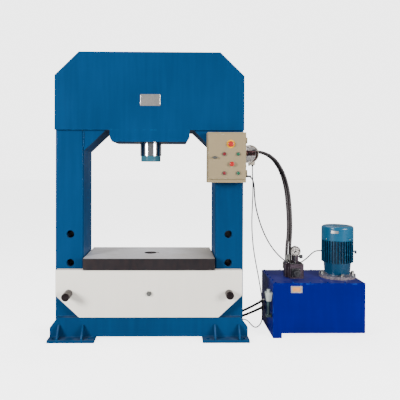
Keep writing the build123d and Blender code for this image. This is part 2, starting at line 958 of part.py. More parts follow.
def needle(place, dial, length):
    # The pin turns in the case, and the pointer lies one plate thickness above the dial.
    # At rest it points to the zero mark, down and to the left.
    zero_way = math.radians(needle_zero)
    dial_plane = Plane(
        origin=(ram_x + place[0], -dial, place[1]),
        x_dir=(-math.cos(zero_way), 0, math.sin(zero_way)), z_dir=(0, -1, 0),
    )
    with BuildPart() as pointer:
        with BuildSketch(dial_plane.offset(needle_play - needle_pin)):
            Circle(needle_pin_radius)
        extrude(amount=needle_pin - needle_play + needle_plate)
        with BuildSketch(dial_plane.offset(needle_plate)):
            Circle(3 * needle_pin_radius)
            with Locations((length / 3, 0)):
                Rectangle(length * 2 / 3, 2 * needle_pin_radius)
            with BuildLine():
                Polyline(
                    (0, needle_pin_radius),
                    (length, 0),
                    (0, -needle_pin_radius),
                    close=True,
                )
            make_face()
        extrude(amount=needle_plate)
    return pointer


contact_back = -gauge_front_y - gauge_depth
contact_place = (gauge_x, gauge_z)
box_gauge_x = gauge_x + gauge_box_shift - gauge_box_width / 2
gauge_box_top = gauge_z - gauge_box_drop
gauge_box_bottom = gauge_box_top - gauge_box_height
contact_case = gauge_case(
    contact_place, contact_back, gauge_radius, gauge_depth, gauge_recess, gauge_rim
)
with BuildPart() as contact_gauge:
    add(contact_case)
    with BuildSketch(front.offset(contact_back)):
        with Locations((box_gauge_x, gauge_box_bottom)):
            Rectangle(gauge_box_width, gauge_box_height, align=Align.MIN)
    extrude(amount=gauge_depth - gauge_recess - 2)
    with BuildSketch(front.offset(contact_back - gauge_bracket)):
        with Locations((column_outer, gauge_z - gauge_radius / 4)):
            Rectangle(gauge_radius, gauge_radius / 2, align=Align.MIN)
    extrude(amount=gauge_bracket)
    with BuildSketch(floor.offset(gauge_z - gauge_radius - 22)):
        with Locations((gauge_x, gauge_front_y + gauge_depth / 2)):
            RegularPolygon(gauge_stem_radius, 6)
    extrude(amount=30)
keep(contact_gauge, "contact_gauge")

contact_dial = contact_back + gauge_depth - gauge_recess
contact_needle = needle(contact_place, contact_dial, gauge_radius - 3 * gauge_rim)
keep(contact_needle, "contact_gauge_needle")

dial_place = (dial_x, dial_z)
block_case = gauge_case(dial_place, -dial_back, dial_radius, dial_depth, dial_recess, dial_rim)
with BuildPart() as block_gauge:
    add(block_case)
    with BuildSketch(floor.offset(dial_z - dial_radius - dial_stem)):
        with Locations((dial_x, dial_back - dial_depth / 2)):
            RegularPolygon(dial_stem_radius, 6)
    extrude(amount=dial_stem + dial_depth / 3)
keep(block_gauge, "block_gauge")

block_dial = -dial_back + dial_depth - dial_recess
block_needle = needle(dial_place, block_dial, dial_radius - 3 * dial_rim)
keep(block_needle, "block_gauge_needle")

with BuildPart() as gauge_glasses:
    with BuildSketch(front.offset(contact_back + gauge_depth - gauge_glass)):
        with Locations(contact_place):
            Circle(gauge_radius - gauge_rim)
    extrude(amount=gauge_glass)
    with BuildSketch(front.offset(-dial_back + dial_depth - dial_glass)):
        with Locations(dial_place):
            Circle(dial_radius - dial_rim)
    extrude(amount=dial_glass)
keep(gauge_glasses, "gauge_glasses")

# Oil tank: a welded box on two skids, closed by a lid. The right skid stands back from the front
lid_bottom = tank_top - tank_lid_plate
with BuildPart() as oil_tank:
    with BuildSketch(floor.offset(tank_foot_height)):
        with Locations((tank_middle_x, tank_middle_y)):
            Rectangle(tank_width, tank_depth)
    extrude(amount=lid_bottom - tank_foot_height)
    with BuildSketch(floor.offset(tank_foot_height + tank_wall)):
        with Locations((tank_middle_x, tank_middle_y)):
            Rectangle(tank_width - 2 * tank_wall, tank_depth - 2 * tank_wall)
    extrude(amount=lid_bottom - tank_foot_height - tank_wall, mode=Mode.SUBTRACT)
    for foot_x, foot_front in (
        (tank_left, tank_front),
        (tank_left + tank_width - tank_foot_width, tank_front + right_foot_set_back),
    ):
        skid_depth = tank_front + tank_depth - foot_front
        with BuildSketch(floor):
            with Locations((foot_x, foot_front)):
                Rectangle(tank_foot_width, skid_depth, align=Align.MIN)
            with Locations((foot_x + tank_wall, foot_front + tank_wall)):
                Rectangle(
                    tank_foot_width - 2 * tank_wall, skid_depth - 2 * tank_wall,
                    align=Align.MIN, mode=Mode.SUBTRACT,
                )
        extrude(amount=tank_foot_height)
keep(oil_tank, "oil_tank")

with BuildPart() as tank_lid:
    with BuildSketch(floor.offset(lid_bottom)):
        with Locations((tank_middle_x, tank_middle_y)):
            Rectangle(tank_width, tank_depth)
        with Locations((motor_x, motor_y)):
            Circle(bell_housing_radius - bell_housing_wall, mode=Mode.SUBTRACT)
    extrude(amount=tank_lid_plate)
    with BuildSketch(floor.offset(tank_top)):
        with Locations((breather_x, breather_y)):
            Circle(breather_radius)
    extrude(amount=tank_lid_plate)
    with BuildSketch(floor.offset(tank_top)):
        with Locations((breather_x, breather_y)):
            Circle(breather_neck_radius)
    extrude(amount=breather_neck + breather_socket)
keep(tank_lid, "tank_lid")

# Motor: flanged end bell, finned frame, fan cowl and terminal box
frame_bore = rotor_radius + rotor_gap
bell_bottom = tank_top + motor_flange
with BuildPart() as motor_flange_bell:
    with BuildSketch(floor.offset(tank_top)):
        with Locations((motor_x, motor_y)):
            Circle(motor_flange_radius)
    extrude(amount=motor_flange)
    with BuildSketch(floor.offset(bell_bottom)):
        with Locations((motor_x, motor_y)):
            Circle(bell_radius - bell_taper)
    with BuildSketch(floor.offset(frame_bottom)):
        with Locations((motor_x, motor_y)):
            Circle(bell_radius)
    loft()
    with BuildSketch(floor.offset(tank_top)):
        with Locations((motor_x, motor_y)):
            Circle(shaft_radius + running_gap)
    extrude(amount=frame_bottom - tank_top, mode=Mode.SUBTRACT)
keep(motor_flange_bell, "motor_flange")

eye_z = frame_bottom + eye_height_share * frame_height
with BuildPart() as motor_frame:
    with BuildSketch(floor.offset(frame_bottom)):
        with Locations((motor_x, motor_y)):
            Circle(frame_core_radius)
            with PolarLocations((frame_core_radius + frame_fin_radius) / 2 - fin_root, fin_count):
                Rectangle(frame_fin_radius - frame_core_radius + 2 * fin_root, fin_plate)
    extrude(amount=frame_height)
    with BuildSketch(side.offset(motor_x + frame_core_radius - fin_root)):
        with Locations((motor_y, eye_z)):
            Circle(eye_rod)
    extrude(amount=frame_fin_radius - frame_core_radius + eye_reach - eye_head + fin_root)
    with BuildSketch(side.offset(motor_x + frame_fin_radius + eye_reach - eye_head)):
        with Locations((motor_y, eye_z - eye_head_drop)):
            Circle(2 * eye_rod)
    extrude(amount=eye_head)
    with BuildSketch(floor.offset(frame_bottom)):
        with Locations((motor_x, motor_y)):
            Circle(frame_bore)
    extrude(amount=frame_height - end_shield, mode=Mode.SUBTRACT)
    with BuildSketch(floor.offset(frame_top - end_shield)):
        with Locations((motor_x, motor_y)):
            Circle(shaft_radius + running_gap)
    extrude(amount=end_shield, mode=Mode.SUBTRACT)
keep(motor_frame, "motor_frame")

with BuildPart() as fan_cowl:
    with BuildSketch(floor.offset(frame_top)):
        with Locations((motor_x, motor_y)):
            Circle(cowl_radius)
    extrude(amount=cowl_height)
    fillet(fan_cowl.faces().sort_by(Axis.Z)[-1].edges(), cowl_round)
    with BuildSketch(floor.offset(frame_top)):
        with Locations((motor_x, motor_y)):
            Circle(cowl_radius - cowl_sheet)
    extrude(amount=cowl_height - cowl_sheet - cowl_round, mode=Mode.SUBTRACT)
    with BuildSketch(floor.offset(cowl_top - cowl_sheet - cowl_round)):
        with Locations((motor_x, motor_y)):
            Circle(cowl_radius - cowl_sheet - cowl_round)
    extrude(amount=cowl_round, mode=Mode.SUBTRACT)
    with BuildSketch(floor.offset(cowl_top - cowl_sheet)):
        with Locations((motor_x, motor_y)):
            with PolarLocations((grille_inner + grille_outer) / 2, grille_slots):
                SlotOverall(grille_outer - grille_inner, grille_slot_width)
    extrude(amount=cowl_sheet, mode=Mode.SUBTRACT)
keep(fan_cowl, "fan_cowl")

terminal_middle_x = motor_x + terminal_x
terminal_back_y = motor_y + frame_core_radius
with BuildPart() as motor_terminal_box:
    with BuildSketch(front.offset(-terminal_back_y - terminal_depth)):
        with Locations((terminal_middle_x, terminal_z)):
            RectangleRounded(terminal_width, terminal_height, 8)
    extrude(amount=terminal_depth)
    with BuildSketch(floor.offset(frame_bottom)):
        with Locations((motor_x, motor_y)):
            Circle(frame_fin_radius + fixed_gap)
    extrude(amount=frame_height, mode=Mode.SUBTRACT)
keep(motor_terminal_box, "motor_terminal_box")

# Rotor: shaft, core and the fan under the cowl, all turning as one
shaft_bottom = lid_bottom - bell_housing_height - shaft_in_pump + shaft_end_gap
fan_bottom = frame_top + rotor_margin
with BuildPart() as motor_rotor:
    with BuildSketch(floor.offset(shaft_bottom)):
        with Locations((motor_x, motor_y)):
            Circle(shaft_radius)
    extrude(amount=fan_bottom + fan_height - shaft_bottom)
    with BuildSketch(floor.offset(frame_bottom + rotor_margin)):
        with Locations((motor_x, motor_y)):
            Circle(rotor_radius)
    extrude(amount=frame_height - end_shield - 2 * rotor_margin)
    with BuildSketch(floor.offset(fan_bottom)):
        with Locations((motor_x, motor_y)):
            Circle(fan_radius)
    extrude(amount=fan_plate)
    with BuildSketch(floor.offset(fan_bottom + fan_plate)):
        with Locations((motor_x, motor_y)):
            with PolarLocations((shaft_radius + fan_radius) / 2 - 2, fan_blades):
                Rectangle(fan_radius - shaft_radius, fan_plate)
    extrude(amount=fan_height - fan_plate)
keep(motor_rotor, "motor_rotor")

with BuildPart() as oil_pump:
    with BuildSketch(floor.offset(lid_bottom - bell_housing_height)):
        with Locations((motor_x, motor_y)):
            Circle(bell_housing_radius)
            Circle(bell_housing_radius - bell_housing_wall, mode=Mode.SUBTRACT)
    extrude(amount=bell_housing_height)
    with BuildSketch(floor.offset(lid_bottom - bell_housing_height - pump_height)):
        with Locations((motor_x, motor_y)):
            Circle(pump_radius + bell_housing_wall)
    extrude(amount=pump_height)
    with BuildSketch(floor.offset(lid_bottom - bell_housing_height - pump_height - strainer_height)):
        with Locations((motor_x, motor_y)):
            Circle(strainer_radius)
    extrude(amount=strainer_height)
    with BuildSketch(floor.offset(lid_bottom - bell_housing_height - shaft_in_pump)):
        with Locations((motor_x, motor_y)):
            Circle(shaft_radius + running_gap)
    extrude(amount=shaft_in_pump, mode=Mode.SUBTRACT)
keep(oil_pump, "oil_pump")

# Valve block with its relief valve, solenoid and pressure knob
with BuildPart() as valve_block:
    with BuildSketch(floor.offset(tank_top)):
        with Locations((block_left, block_front)):
            Rectangle(block_width, block_depth, align=Align.MIN)
            Rectangle(block_notch_width, block_notch_depth, align=Align.MIN, mode=Mode.SUBTRACT)
    extrude(amount=block_height)
    chamfer(valve_block.edges().filter_by(Axis.Z), 3)
    with BuildSketch(floor.offset(block_top)):
        with Locations((relief_left, relief_front)):
            Rectangle(relief_width, relief_depth, align=Align.MIN)
    extrude(amount=relief_height)
    relief_right = relief_left + relief_width
    with BuildSketch(side.offset(relief_right - knob_socket)):
        with Locations((knob_y, knob_z)):
            Circle(knob_stem_radius + running_gap)
    extrude(amount=knob_socket, mode=Mode.SUBTRACT)
keep(valve_block, "valve_block")

with BuildPart() as solenoid_valve:
    with BuildSketch(front.offset(-block_front)):
        with Locations((coil_x, coil_z)):
            RectangleRounded(coil_base, coil_base, 5)
    extrude(amount=coil_base_depth)
    with BuildSketch(front.offset(-block_front + coil_base_depth)):
        with Locations((coil_x, coil_z)):
            Circle(coil_radius)
    extrude(amount=coil_length)
    fillet(solenoid_valve.faces().sort_by(Axis.Y)[0].edges(), 3)
    with BuildSketch(front.offset(-block_front + coil_base_depth + coil_length)):
        with Locations((coil_x, coil_z)):
            Circle(coil_nut_radius)
    extrude(amount=coil_nut)
keep(solenoid_valve, "solenoid_valve")

with BuildPart() as relief_knob:
    with BuildSketch(side.offset(relief_right - knob_socket + body_gap)):
        with Locations((knob_y, knob_z)):
            Circle(knob_stem_radius)
    extrude(amount=knob_socket + knob_stem - body_gap)
    with BuildSketch(side.offset(relief_right + knob_stem)):
        with Locations((knob_y, knob_z)):
            Circle(knob_radius)
            with PolarLocations(knob_radius, 8):
                Circle(2, mode=Mode.SUBTRACT)
    extrude(amount=knob_length)
keep(relief_knob, "relief_knob")

# Filler cap with its breather, turned on the neck of the lid
with BuildPart() as filler_breather:
    with BuildSketch(floor.offset(tank_top + breather_neck)):
        with Locations((breather_x, breather_y)):
            Circle(breather_radius)
    extrude(amount=breather_cap)
    fillet(filler_breather.faces().sort_by(Axis.Z)[-1].edges(), breather_round)
    with BuildSketch(floor.offset(tank_top + breather_neck)):
        with Locations((breather_x, breather_y)):
            Circle(breather_neck_radius + running_gap)
    extrude(amount=breather_socket + body_gap, mode=Mode.SUBTRACT)
keep(filler_breather, "filler_breather")

level_head_top = level_head_bottom + level_head_height
level_foot_top = level_foot_bottom + level_foot_height
tube_x = tank_left - level_head_reach / 2
with BuildPart() as level_gauge:
    with BuildSketch(floor.offset(level_head_bottom)):
        with Locations((tube_x, level_y)):
            Rectangle(level_head_reach - 2 * level_head_taper, level_head_width - 2 * level_head_taper)
    with BuildSketch(floor.offset(level_head_top)):
        with Locations((tube_x, level_y)):
            Rectangle(level_head_reach, level_head_width)
    loft()
    with BuildSketch(side.offset(tube_x)):
        with Locations((level_y, level_head_bottom + level_head_height / 2)):
            Rectangle(level_head_width / 2, level_head_height / 2)
        with Locations((level_y, level_foot_bottom + level_foot_height / 2)):
            Rectangle(level_head_width / 2, level_foot_height)
    extrude(amount=level_head_reach / 2)
    with BuildSketch(floor.offset(level_foot_bottom)):
        with Locations((tube_x, level_y)):
            Rectangle(level_head_width / 2 + 10, level_head_width / 2 + 10)
    extrude(amount=level_foot_height)
    with BuildSketch(floor.offset(level_foot_top)):
        with Locations((tube_x, level_y)):
            Circle(level_tube_radius)
    extrude(amount=level_head_bottom - level_foot_top)
    with BuildSketch(floor.offset(level_head_top)):
        with Locations((tube_x, level_y)):
            Circle(level_tube_radius)
    extrude(amount=level_cap)
keep(level_gauge, "level_gauge")

# Hexagon bolts: the heads of the table tie rod and those round the motor flange
with BuildPart() as bolts:
    with BuildSketch(front.offset(-table_face)):
        with Locations((0, pin_height)):
            Circle(tie_rod_radius)
    extrude(amount=2 * table_face)
    for plane in (front.offset(table_face), front.offset(-table_face - bolt_head)):
        with BuildSketch(plane):
            with Locations((0, pin_height)):
                RegularPolygon(bolt_across_corners / 2, 6)
        extrude(amount=bolt_head)
    with BuildSketch(floor.offset(bell_bottom)):
        with Locations((motor_x, motor_y)):
            with PolarLocations(flange_bolt_circle, flange_bolts):
                RegularPolygon(flange_bolt_corners / 2, 6)
    extrude(amount=flange_bolt_height)
keep(bolts, "bolts")

# Cable glands where the cables leave the box, the gauge, the motor and the column
terminal_left = terminal_middle_x - terminal_width / 2
terminal_y = terminal_back_y + terminal_depth / 2
terminal_gland_z = terminal_z - terminal_gland_drop
gauge_gland_x = box_gauge_x + gauge_box_width / 2
gauge_gland_y = gauge_front_y + gauge_depth - (gauge_depth - gauge_recess) / 2
gland_places = [
    ((column_outer, box_gland_y, box_gland_z), (1, 0, 0)),
    ((column_outer, box_gland_y, plug_gland_z), (1, 0, 0)),
    ((terminal_left, terminal_y, terminal_gland_z), (-1, 0, 0)),
    ((gauge_gland_x, gauge_gland_y, gauge_box_bottom), (0, 0, -1)),
    ((column_outer, column_gland_y, column_gland_z), (1, 0, 0)),
]
with BuildPart() as cable_glands:
    for (x, y, z), direction in gland_places:
        gland_face = Plane(origin=(ram_x + x, y, z), z_dir=direction)
        with BuildSketch(gland_face):
            RegularPolygon(cable_gland_radius, 6)
        extrude(amount=cable_gland / 2)
        with BuildSketch(gland_face.offset(cable_gland / 2)):
            Circle(cable_gland_radius - 2)
        extrude(amount=cable_gland / 2)
keep(cable_glands, "cable_glands")


# Hoses and cables: straight runs joined by arcs as large as the runs allow
def cord(name, radius, route):
    points = [Vector(ram_x, 0, 0) + Vector(*point) for point in route]
    runs = [b - a for a, b in zip(points, points[1:])]
    bends = []
    for run, following in zip(runs, runs[1:]):
        turn = math.radians(run.get_angle(following))
        bends.append(0.45 * min(run.length, following.length) / math.tan(turn / 2))
    with BuildPart() as tube:
        with BuildLine() as line:
            FilletPolyline(*points, radius=bends)
        with BuildSketch(Plane(origin=points[0], z_dir=runs[0])):
            Circle(radius)
        sweep(path=line.line)
    length = line.wire().length
    share = tube.part.volume / (math.pi * radius**2 * length)
    print(f"{name}: length {length:.0f}, tightest bend {min(bends):.0f}, "
          f"{min(bends) / (2 * radius):.1f} diameters, volume share {share:.4f}")
    keep(tube, name)


bulkhead_end = column_outer + fitting_nut + fitting_ferrule
block_hose_z = block_top + fitting_nut + fitting_ferrule
(inner_hose_x, inner_hose_y), (outer_hose_x, outer_hose_y) = block_hose_places
cord("inner_main_hose", hose_radius, [
    (bulkhead_end, lower_port_y, bulkhead_z),
    (895, lower_port_y, bulkhead_z), (996, 150, 1402), (1071, 130, 1290), (1111, 102, 1148),
    (1126, 76, 990), (1130, 56, 850), (1122, 30, 748), (inner_hose_x, inner_hose_y, 668),
    (inner_hose_x, inner_hose_y, block_hose_z),
])
cord("outer_main_hose", hose_radius, [
    (bulkhead_end, upper_port_y, bulkhead_z),
    (905, upper_port_y, bulkhead_z), (1022, 118, 1392), (1104, 106, 1276), (1148, 90, 1130),
    (1161, 74, 980), (1162, 60, 845), (1154, 40, 748), (outer_hose_x, outer_hose_y, 668),
    (outer_hose_x, outer_hose_y, block_hose_z),
])
terminal_gland_end = terminal_left - cable_gland
cord("motor_cable", power_cable_radius, [
    (column_outer + cable_gland, box_gland_y, box_gland_z),
    (759, box_gland_y, box_gland_z), (779, -250, 1241), (795, -249, 1228), (807, -247, 1209),
    (815, -243, 1183), (819, -236, 1146), (821, -227, 1096), (827, -215, 1030), (845, -204, 944),
    (871, -192, 858), (908, -181, 770), (954, -168, 692), (1006, -157, 629), (1060, -150, 583),
    (1110, -144, 560), (1158, -128, 555), (1204, -98, 564), (1250, -50, 577), (1292, 8, 589),
    (1330, 68, 599), (1358, 111, 604), (terminal_gland_end - 61, 138, 607),
    (terminal_gland_end - 42, 153, 609), (terminal_gland_end - 21, terminal_y, terminal_gland_z),
    (terminal_gland_end, terminal_y, terminal_gland_z),
])
gauge_gland_end = gauge_box_bottom - cable_gland
cord("gauge_cable", signal_cable_radius, [
    (gauge_gland_x, gauge_gland_y, gauge_gland_end),
    (gauge_gland_x, gauge_gland_y, 1262), (842, 70, 1190), (843, 73, 1111), (840, 77, 1003),
    (836, 81, 878), (839, 85, 778), (849, 90, 662), (867, 97, 553), (887, 104, 455),
    (906, 110, 362), (921, 114, 275), (931, 116, 198), (935, 114, 137), (934, 104, 87),
    (926, 84, 47), (908, 56, 20), (884, 26, 10), (858, -4, 11), (834, -24, 25), (813, -38, 48),
    (796, -40, 69), (779, column_gland_y, 83), (759, column_gland_y, column_gland_z),
    (column_outer + cable_gland, column_gland_y, column_gland_z),
])
for name, (tank_end, middle, column_end) in zip(("upper_drain_hose", "lower_drain_hose"), drain_routes):
    cord(name, drain_radius, [tank_end, middle, column_end])
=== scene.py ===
import bpy
import bmesh
from math import copysign, cos, pi, radians, sin, sqrt
from mathutils import Matrix, Vector


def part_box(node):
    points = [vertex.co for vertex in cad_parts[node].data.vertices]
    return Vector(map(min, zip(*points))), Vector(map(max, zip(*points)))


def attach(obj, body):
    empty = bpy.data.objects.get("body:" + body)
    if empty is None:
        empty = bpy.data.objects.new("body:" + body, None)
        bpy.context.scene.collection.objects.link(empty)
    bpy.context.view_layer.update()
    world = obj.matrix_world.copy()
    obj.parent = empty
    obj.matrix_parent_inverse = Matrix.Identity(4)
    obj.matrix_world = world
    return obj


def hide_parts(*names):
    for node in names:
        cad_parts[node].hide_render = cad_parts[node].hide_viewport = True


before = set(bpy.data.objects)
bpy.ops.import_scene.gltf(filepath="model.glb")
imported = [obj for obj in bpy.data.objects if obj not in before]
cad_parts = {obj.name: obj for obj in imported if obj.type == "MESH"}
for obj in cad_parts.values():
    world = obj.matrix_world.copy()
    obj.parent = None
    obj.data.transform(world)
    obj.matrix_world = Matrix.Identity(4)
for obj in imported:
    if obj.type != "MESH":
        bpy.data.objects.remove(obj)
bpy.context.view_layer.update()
mm = 0.001
ramAxis = 462  # millimetres from the ram axis to the origin


def place(*spot):  # millimetres from the ram axis, rounded to a thousandth, to metres in the shared frame
    x, y, z = (round(value, 3) for value in spot)
    return Vector((x - ramAxis, y, z)) * mm


def limits(node):  # lowest and highest corner of a solid, in millimetres from the ram axis
    return [corner / mm + Vector((ramAxis, 0, 0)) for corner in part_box(node)]


def tint(red, green, blue):  # a colour of a screen, 0 to 255, to linear light
    def channel(value):
        value /= 255
        return value / 12.92 if value < 0.04045 else ((value + 0.055) / 1.055) ** 2.4
    return (channel(red), channel(green), channel(blue), 1.0)


def linked(name, data):
    made = bpy.data.objects.new(name, data)
    bpy.context.collection.objects.link(made)
    return made


# Camera, matched to the picture
view = {"place": (-0.28565, -3.91417, 1.32612), "yaw": 0.01425, "pitch": 0.00843, "roll": 0.00332,
        "lens": 43.404, "sensor": 36, "shiftX": 0.05141, "shiftY": -0.07527, "farthest": 60}
ahead = Vector((sin(view["yaw"]) * cos(view["pitch"]),
                cos(view["yaw"]) * cos(view["pitch"]), -sin(view["pitch"])))
right = Vector((cos(view["yaw"]), -sin(view["yaw"]), 0))
upward = right.cross(ahead)
turnCos, turnSin = cos(view["roll"]), sin(view["roll"])
right, upward = right * turnCos + upward * turnSin, upward * turnCos - right * turnSin
camera = linked("camera", bpy.data.cameras.new("camera"))
facingAhead = Matrix((right, upward, -ahead)).transposed().to_4x4()
camera.matrix_world = Matrix.Translation(view["place"]) @ facingAhead
camera.data.sensor_width = view["sensor"]
camera.data.lens = view["lens"]
camera.data.shift_x = view["shiftX"]
camera.data.shift_y = view["shiftY"]
camera.data.clip_end = view["farthest"]
bpy.context.scene.camera = camera
print("camera set")


# Node helpers
def feed(tree, node, values):
    for key, value in values.items():
        if isinstance(value, bpy.types.NodeSocket):
            tree.links.new(value, node.inputs[key])
        else:
            node.inputs[key].default_value = value
    return node


def addNode(tree, kind, values=None, **settings):
    node = tree.nodes.new("ShaderNode" + kind)
    for key, value in settings.items():
        setattr(node, key, value)
    return feed(tree, node, values or {})


def calc(tree, operation, first, second, clamp=False):
    return addNode(tree, "Math", {0: first, 1: second}, operation=operation, use_clamp=clamp).outputs[0]


def times(tree, first, second, clamp=False):
    return calc(tree, "MULTIPLY", first, second, clamp)


def mixColor(tree, factor, first, second):
    return addNode(tree, "Mix", {0: factor, 6: first, 7: second}, data_type="RGBA").outputs[2]


def mixValue(tree, factor, first, second):
    return addNode(tree, "Mix", {0: factor, 2: first, 3: second}).outputs[0]


def axisOf(tree, vector, axis):
    return addNode(tree, "SeparateXYZ", {0: vector}).outputs[axis]


def facingUp(tree):  # 1 on faces that look up, 0 on upright ones
    return axisOf(tree, addNode(tree, "NewGeometry").outputs["Normal"], "Z")


def brightened(tree, value, color):
    return addNode(tree, "HueSaturation", {"Value": value, "Color": color}).outputs[0]


def spread(tree, value, low, high, toLow=0.0, toHigh=1.0):
    return addNode(tree, "MapRange", {0: value, 1: low, 2: high, 3: toLow, 4: toHigh}).outputs[0]


def noise(tree, vector, scale, detail=3.0, rough=0.55):
    return addNode(tree, "TexNoise", {"Vector": vector, "Scale": scale, "Detail": detail,
                                      "Roughness": rough}).outputs["Fac"]


def stretched(tree, vector, scale):
    return addNode(tree, "Mapping", {"Vector": vector, "Scale": scale}).outputs[0]


def newGroup(name, inputs, outputs=("Color", "Roughness", "Height")):
    # a default of None asks for a vector, one of four numbers for a colour
    group = bpy.data.node_groups.new(name, "ShaderNodeTree")
    for title, value in inputs.items():
        kind = "Vector" if value is None else "Color" if isinstance(value, tuple) else "Float"
        socket = group.interface.new_socket(title, in_out="INPUT", socket_type="NodeSocket" + kind)
        if value is not None:
            socket.default_value = value
    for title in outputs:
        kind = "Color" if title == "Color" else "Float"
        group.interface.new_socket(title, in_out="OUTPUT", socket_type="NodeSocket" + kind)
    return group, group.nodes.new("NodeGroupInput").outputs, group.nodes.new("NodeGroupOutput")


def useGroup(tree, group, values):
    node = tree.nodes.new("ShaderNodeGroup")
    node.node_tree = group
    return feed(tree, node, values).outputs


# Rubbed edges: where a rounded normal leaves the true one, broken up by noise
def makeEdgeRub():
    tree, given, out = newGroup("edge rub", {"Vector": None, "Width": 0.004}, ["Mask"])
    rounded = addNode(tree, "Bevel", {"Radius": given["Width"]}, samples=4).outputs[0]
    true = addNode(tree, "NewGeometry").outputs["Normal"]
    agreement = addNode(tree, "VectorMath", {0: rounded, 1: true}, operation="DOT_PRODUCT").outputs["Value"]
    edge = spread(tree, agreement, 0.995, 0.9)
    patches = spread(tree, noise(tree, given["Vector"], 30.0, 4.0), 0.5, 0.64)
    feed(tree, out, {"Mask": times(tree, edge, patches, True)})
    return tree


# Paint: slow shade changes, faint runs, rubbed edges, dust on upward faces, orange peel
def makePaintCoat(edgeRub):
    defaults = {"Vector": None, "Color": (0.1, 0.1, 0.1, 1), "Shade": 0.12, "Patch Scale": 2.2,
                "Peel Scale": 260.0, "Rub Color": (0.3, 0.3, 0.3, 1), "Rub": 0.5, "Rub Width": 0.004,
                "Dust": 0.15, "Smooth": 0.28, "Rough": 0.45}
    tree, given, out = newGroup("paint coat", defaults)
    vector = given["Vector"]
    patches = spread(tree, noise(tree, vector, given["Patch Scale"]), 0.3, 0.7)
    runs = spread(tree, noise(tree, stretched(tree, vector, (9, 9, 0.7)), 3.0, 4.0), 0.42, 0.68)
    lift = calc(tree, "ADD", times(tree, patches, 0.65), times(tree, runs, 0.35))
    change = times(tree, calc(tree, "SUBTRACT", lift, 0.5), given["Shade"])
    shaded = brightened(tree, calc(tree, "ADD", times(tree, change, 2.0), 1.0), given["Color"])
    specks = spread(tree, noise(tree, vector, 95.0, 5.0, 0.7), 0.66, 0.72)
    speckled = times(tree, specks, times(tree, given["Rub"], 0.35))
    marked = mixColor(tree, speckled, shaded, given["Rub Color"])
    rub = useGroup(tree, edgeRub, {"Vector": vector, "Width": given["Rub Width"]})["Mask"]
    worn = mixColor(tree, times(tree, rub, given["Rub"], True), marked, given["Rub Color"])
    blown = spread(tree, noise(tree, vector, 14.0, 5.0, 0.65), 0.35, 0.7)
    settled = times(tree, spread(tree, facingUp(tree), 0.3, 0.9), blown)
    dusty = mixColor(tree, times(tree, settled, given["Dust"], True), worn, (0.4, 0.38, 0.35, 1))
    dull = spread(tree, noise(tree, vector, 7.0, 4.0), 0.3, 0.7)
    gloss = mixValue(tree, dull, given["Smooth"], given["Rough"])
    peel = noise(tree, vector, given["Peel Scale"], 2.0)
    feed(tree, out, {"Color": dusty,
                     "Roughness": calc(tree, "ADD", gloss, times(tree, settled, 0.2), True),
                     "Height": calc(tree, "SUBTRACT", peel, times(tree, rub, 0.8))})
    return tree


# Bare metal: fine lines across the given vector, stains and rubbed bright edges
def makeMetalFace(edgeRub):
    defaults = {"Vector": None, "Grain Vector": None, "Color": (0.5, 0.5, 0.5, 1),
                "Stain Color": (0.1, 0.08, 0.07, 1), "Stain": 0.4, "Stain Scale": 6.0, "Grain Scale": 60.0,
                "Smooth": 0.25, "Rough": 0.5}
    tree, given, out = newGroup("metal face", defaults)
    grain = noise(tree, given["Grain Vector"], given["Grain Scale"], 5.0, 0.7)
    blots = spread(tree, noise(tree, given["Vector"], given["Stain Scale"], 6.0, 0.62), 0.42, 0.66)
    stain = times(tree, blots, given["Stain"], True)
    level = brightened(tree, spread(tree, grain, 0.25, 0.75, 0.72, 1.2), given["Color"])
    stained = mixColor(tree, stain, level, given["Stain Color"])
    rub = useGroup(tree, edgeRub, {"Vector": given["Vector"], "Width": 0.002})["Mask"]
    rubbed = mixColor(tree, times(tree, rub, 0.6), stained, (0.75, 0.74, 0.72, 1))
    dull = calc(tree, "ADD", times(tree, grain, 0.5), stain, True)
    gloss = mixValue(tree, dull, given["Smooth"], given["Rough"])
    feed(tree, out, {"Color": rubbed, "Roughness": gloss, "Height": grain})
    return tree


# Moulded plastic and rubber: a fine grain, faint scuffs and finger grease
def makeMouldedSkin():
    defaults = {"Vector": None, "Color": (0.1, 0.1, 0.1, 1), "Scuff Color": (0.3, 0.3, 0.3, 1), "Scuff": 0.2,
                "Grain Scale": 500.0, "Smooth": 0.3, "Rough": 0.5}
    tree, given, out = newGroup("moulded skin", defaults)
    grease = spread(tree, noise(tree, given["Vector"], 45.0, 4.0), 0.35, 0.68)
    across = stretched(tree, given["Vector"], (1, 1, 4))
    scuffs = spread(tree, noise(tree, across, 130.0, 5.0, 0.7), 0.58, 0.72)
    scuffed = mixColor(tree, times(tree, scuffs, given["Scuff"]), given["Color"], given["Scuff Color"])
    feed(tree, out, {"Color": brightened(tree, spread(tree, grease, 0.0, 1.0, 0.88, 1.1), scuffed),
                     "Roughness": mixValue(tree, grease, given["Smooth"], given["Rough"]),
                     "Height": noise(tree, given["Vector"], given["Grain Scale"], 2.0)})
    return tree


edgeRub = makeEdgeRub()
paintCoat = makePaintCoat(edgeRub)
metalFace = makeMetalFace(edgeRub)
mouldedSkin = makeMouldedSkin()


finishes = {}


def newMaterial(name):
    finishes[name] = bpy.data.materials.new(name)
    finishes[name].use_nodes = True
    tree = finishes[name].node_tree
    shader = next(node for node in tree.nodes if node.type == "BSDF_PRINCIPLED")
    return tree, shader, addNode(tree, "TexCoord").outputs["Object"]


def finishSurface(tree, shader, color, made, bump, depth, height=None):
    height = made["Height"] if height is None else height
    raised = addNode(tree, "Bump", {"Strength": bump, "Distance": depth, "Height": height}).outputs[0]
    feed(tree, shader, {"Base Color": color, "Roughness": made["Roughness"], "Normal": raised})


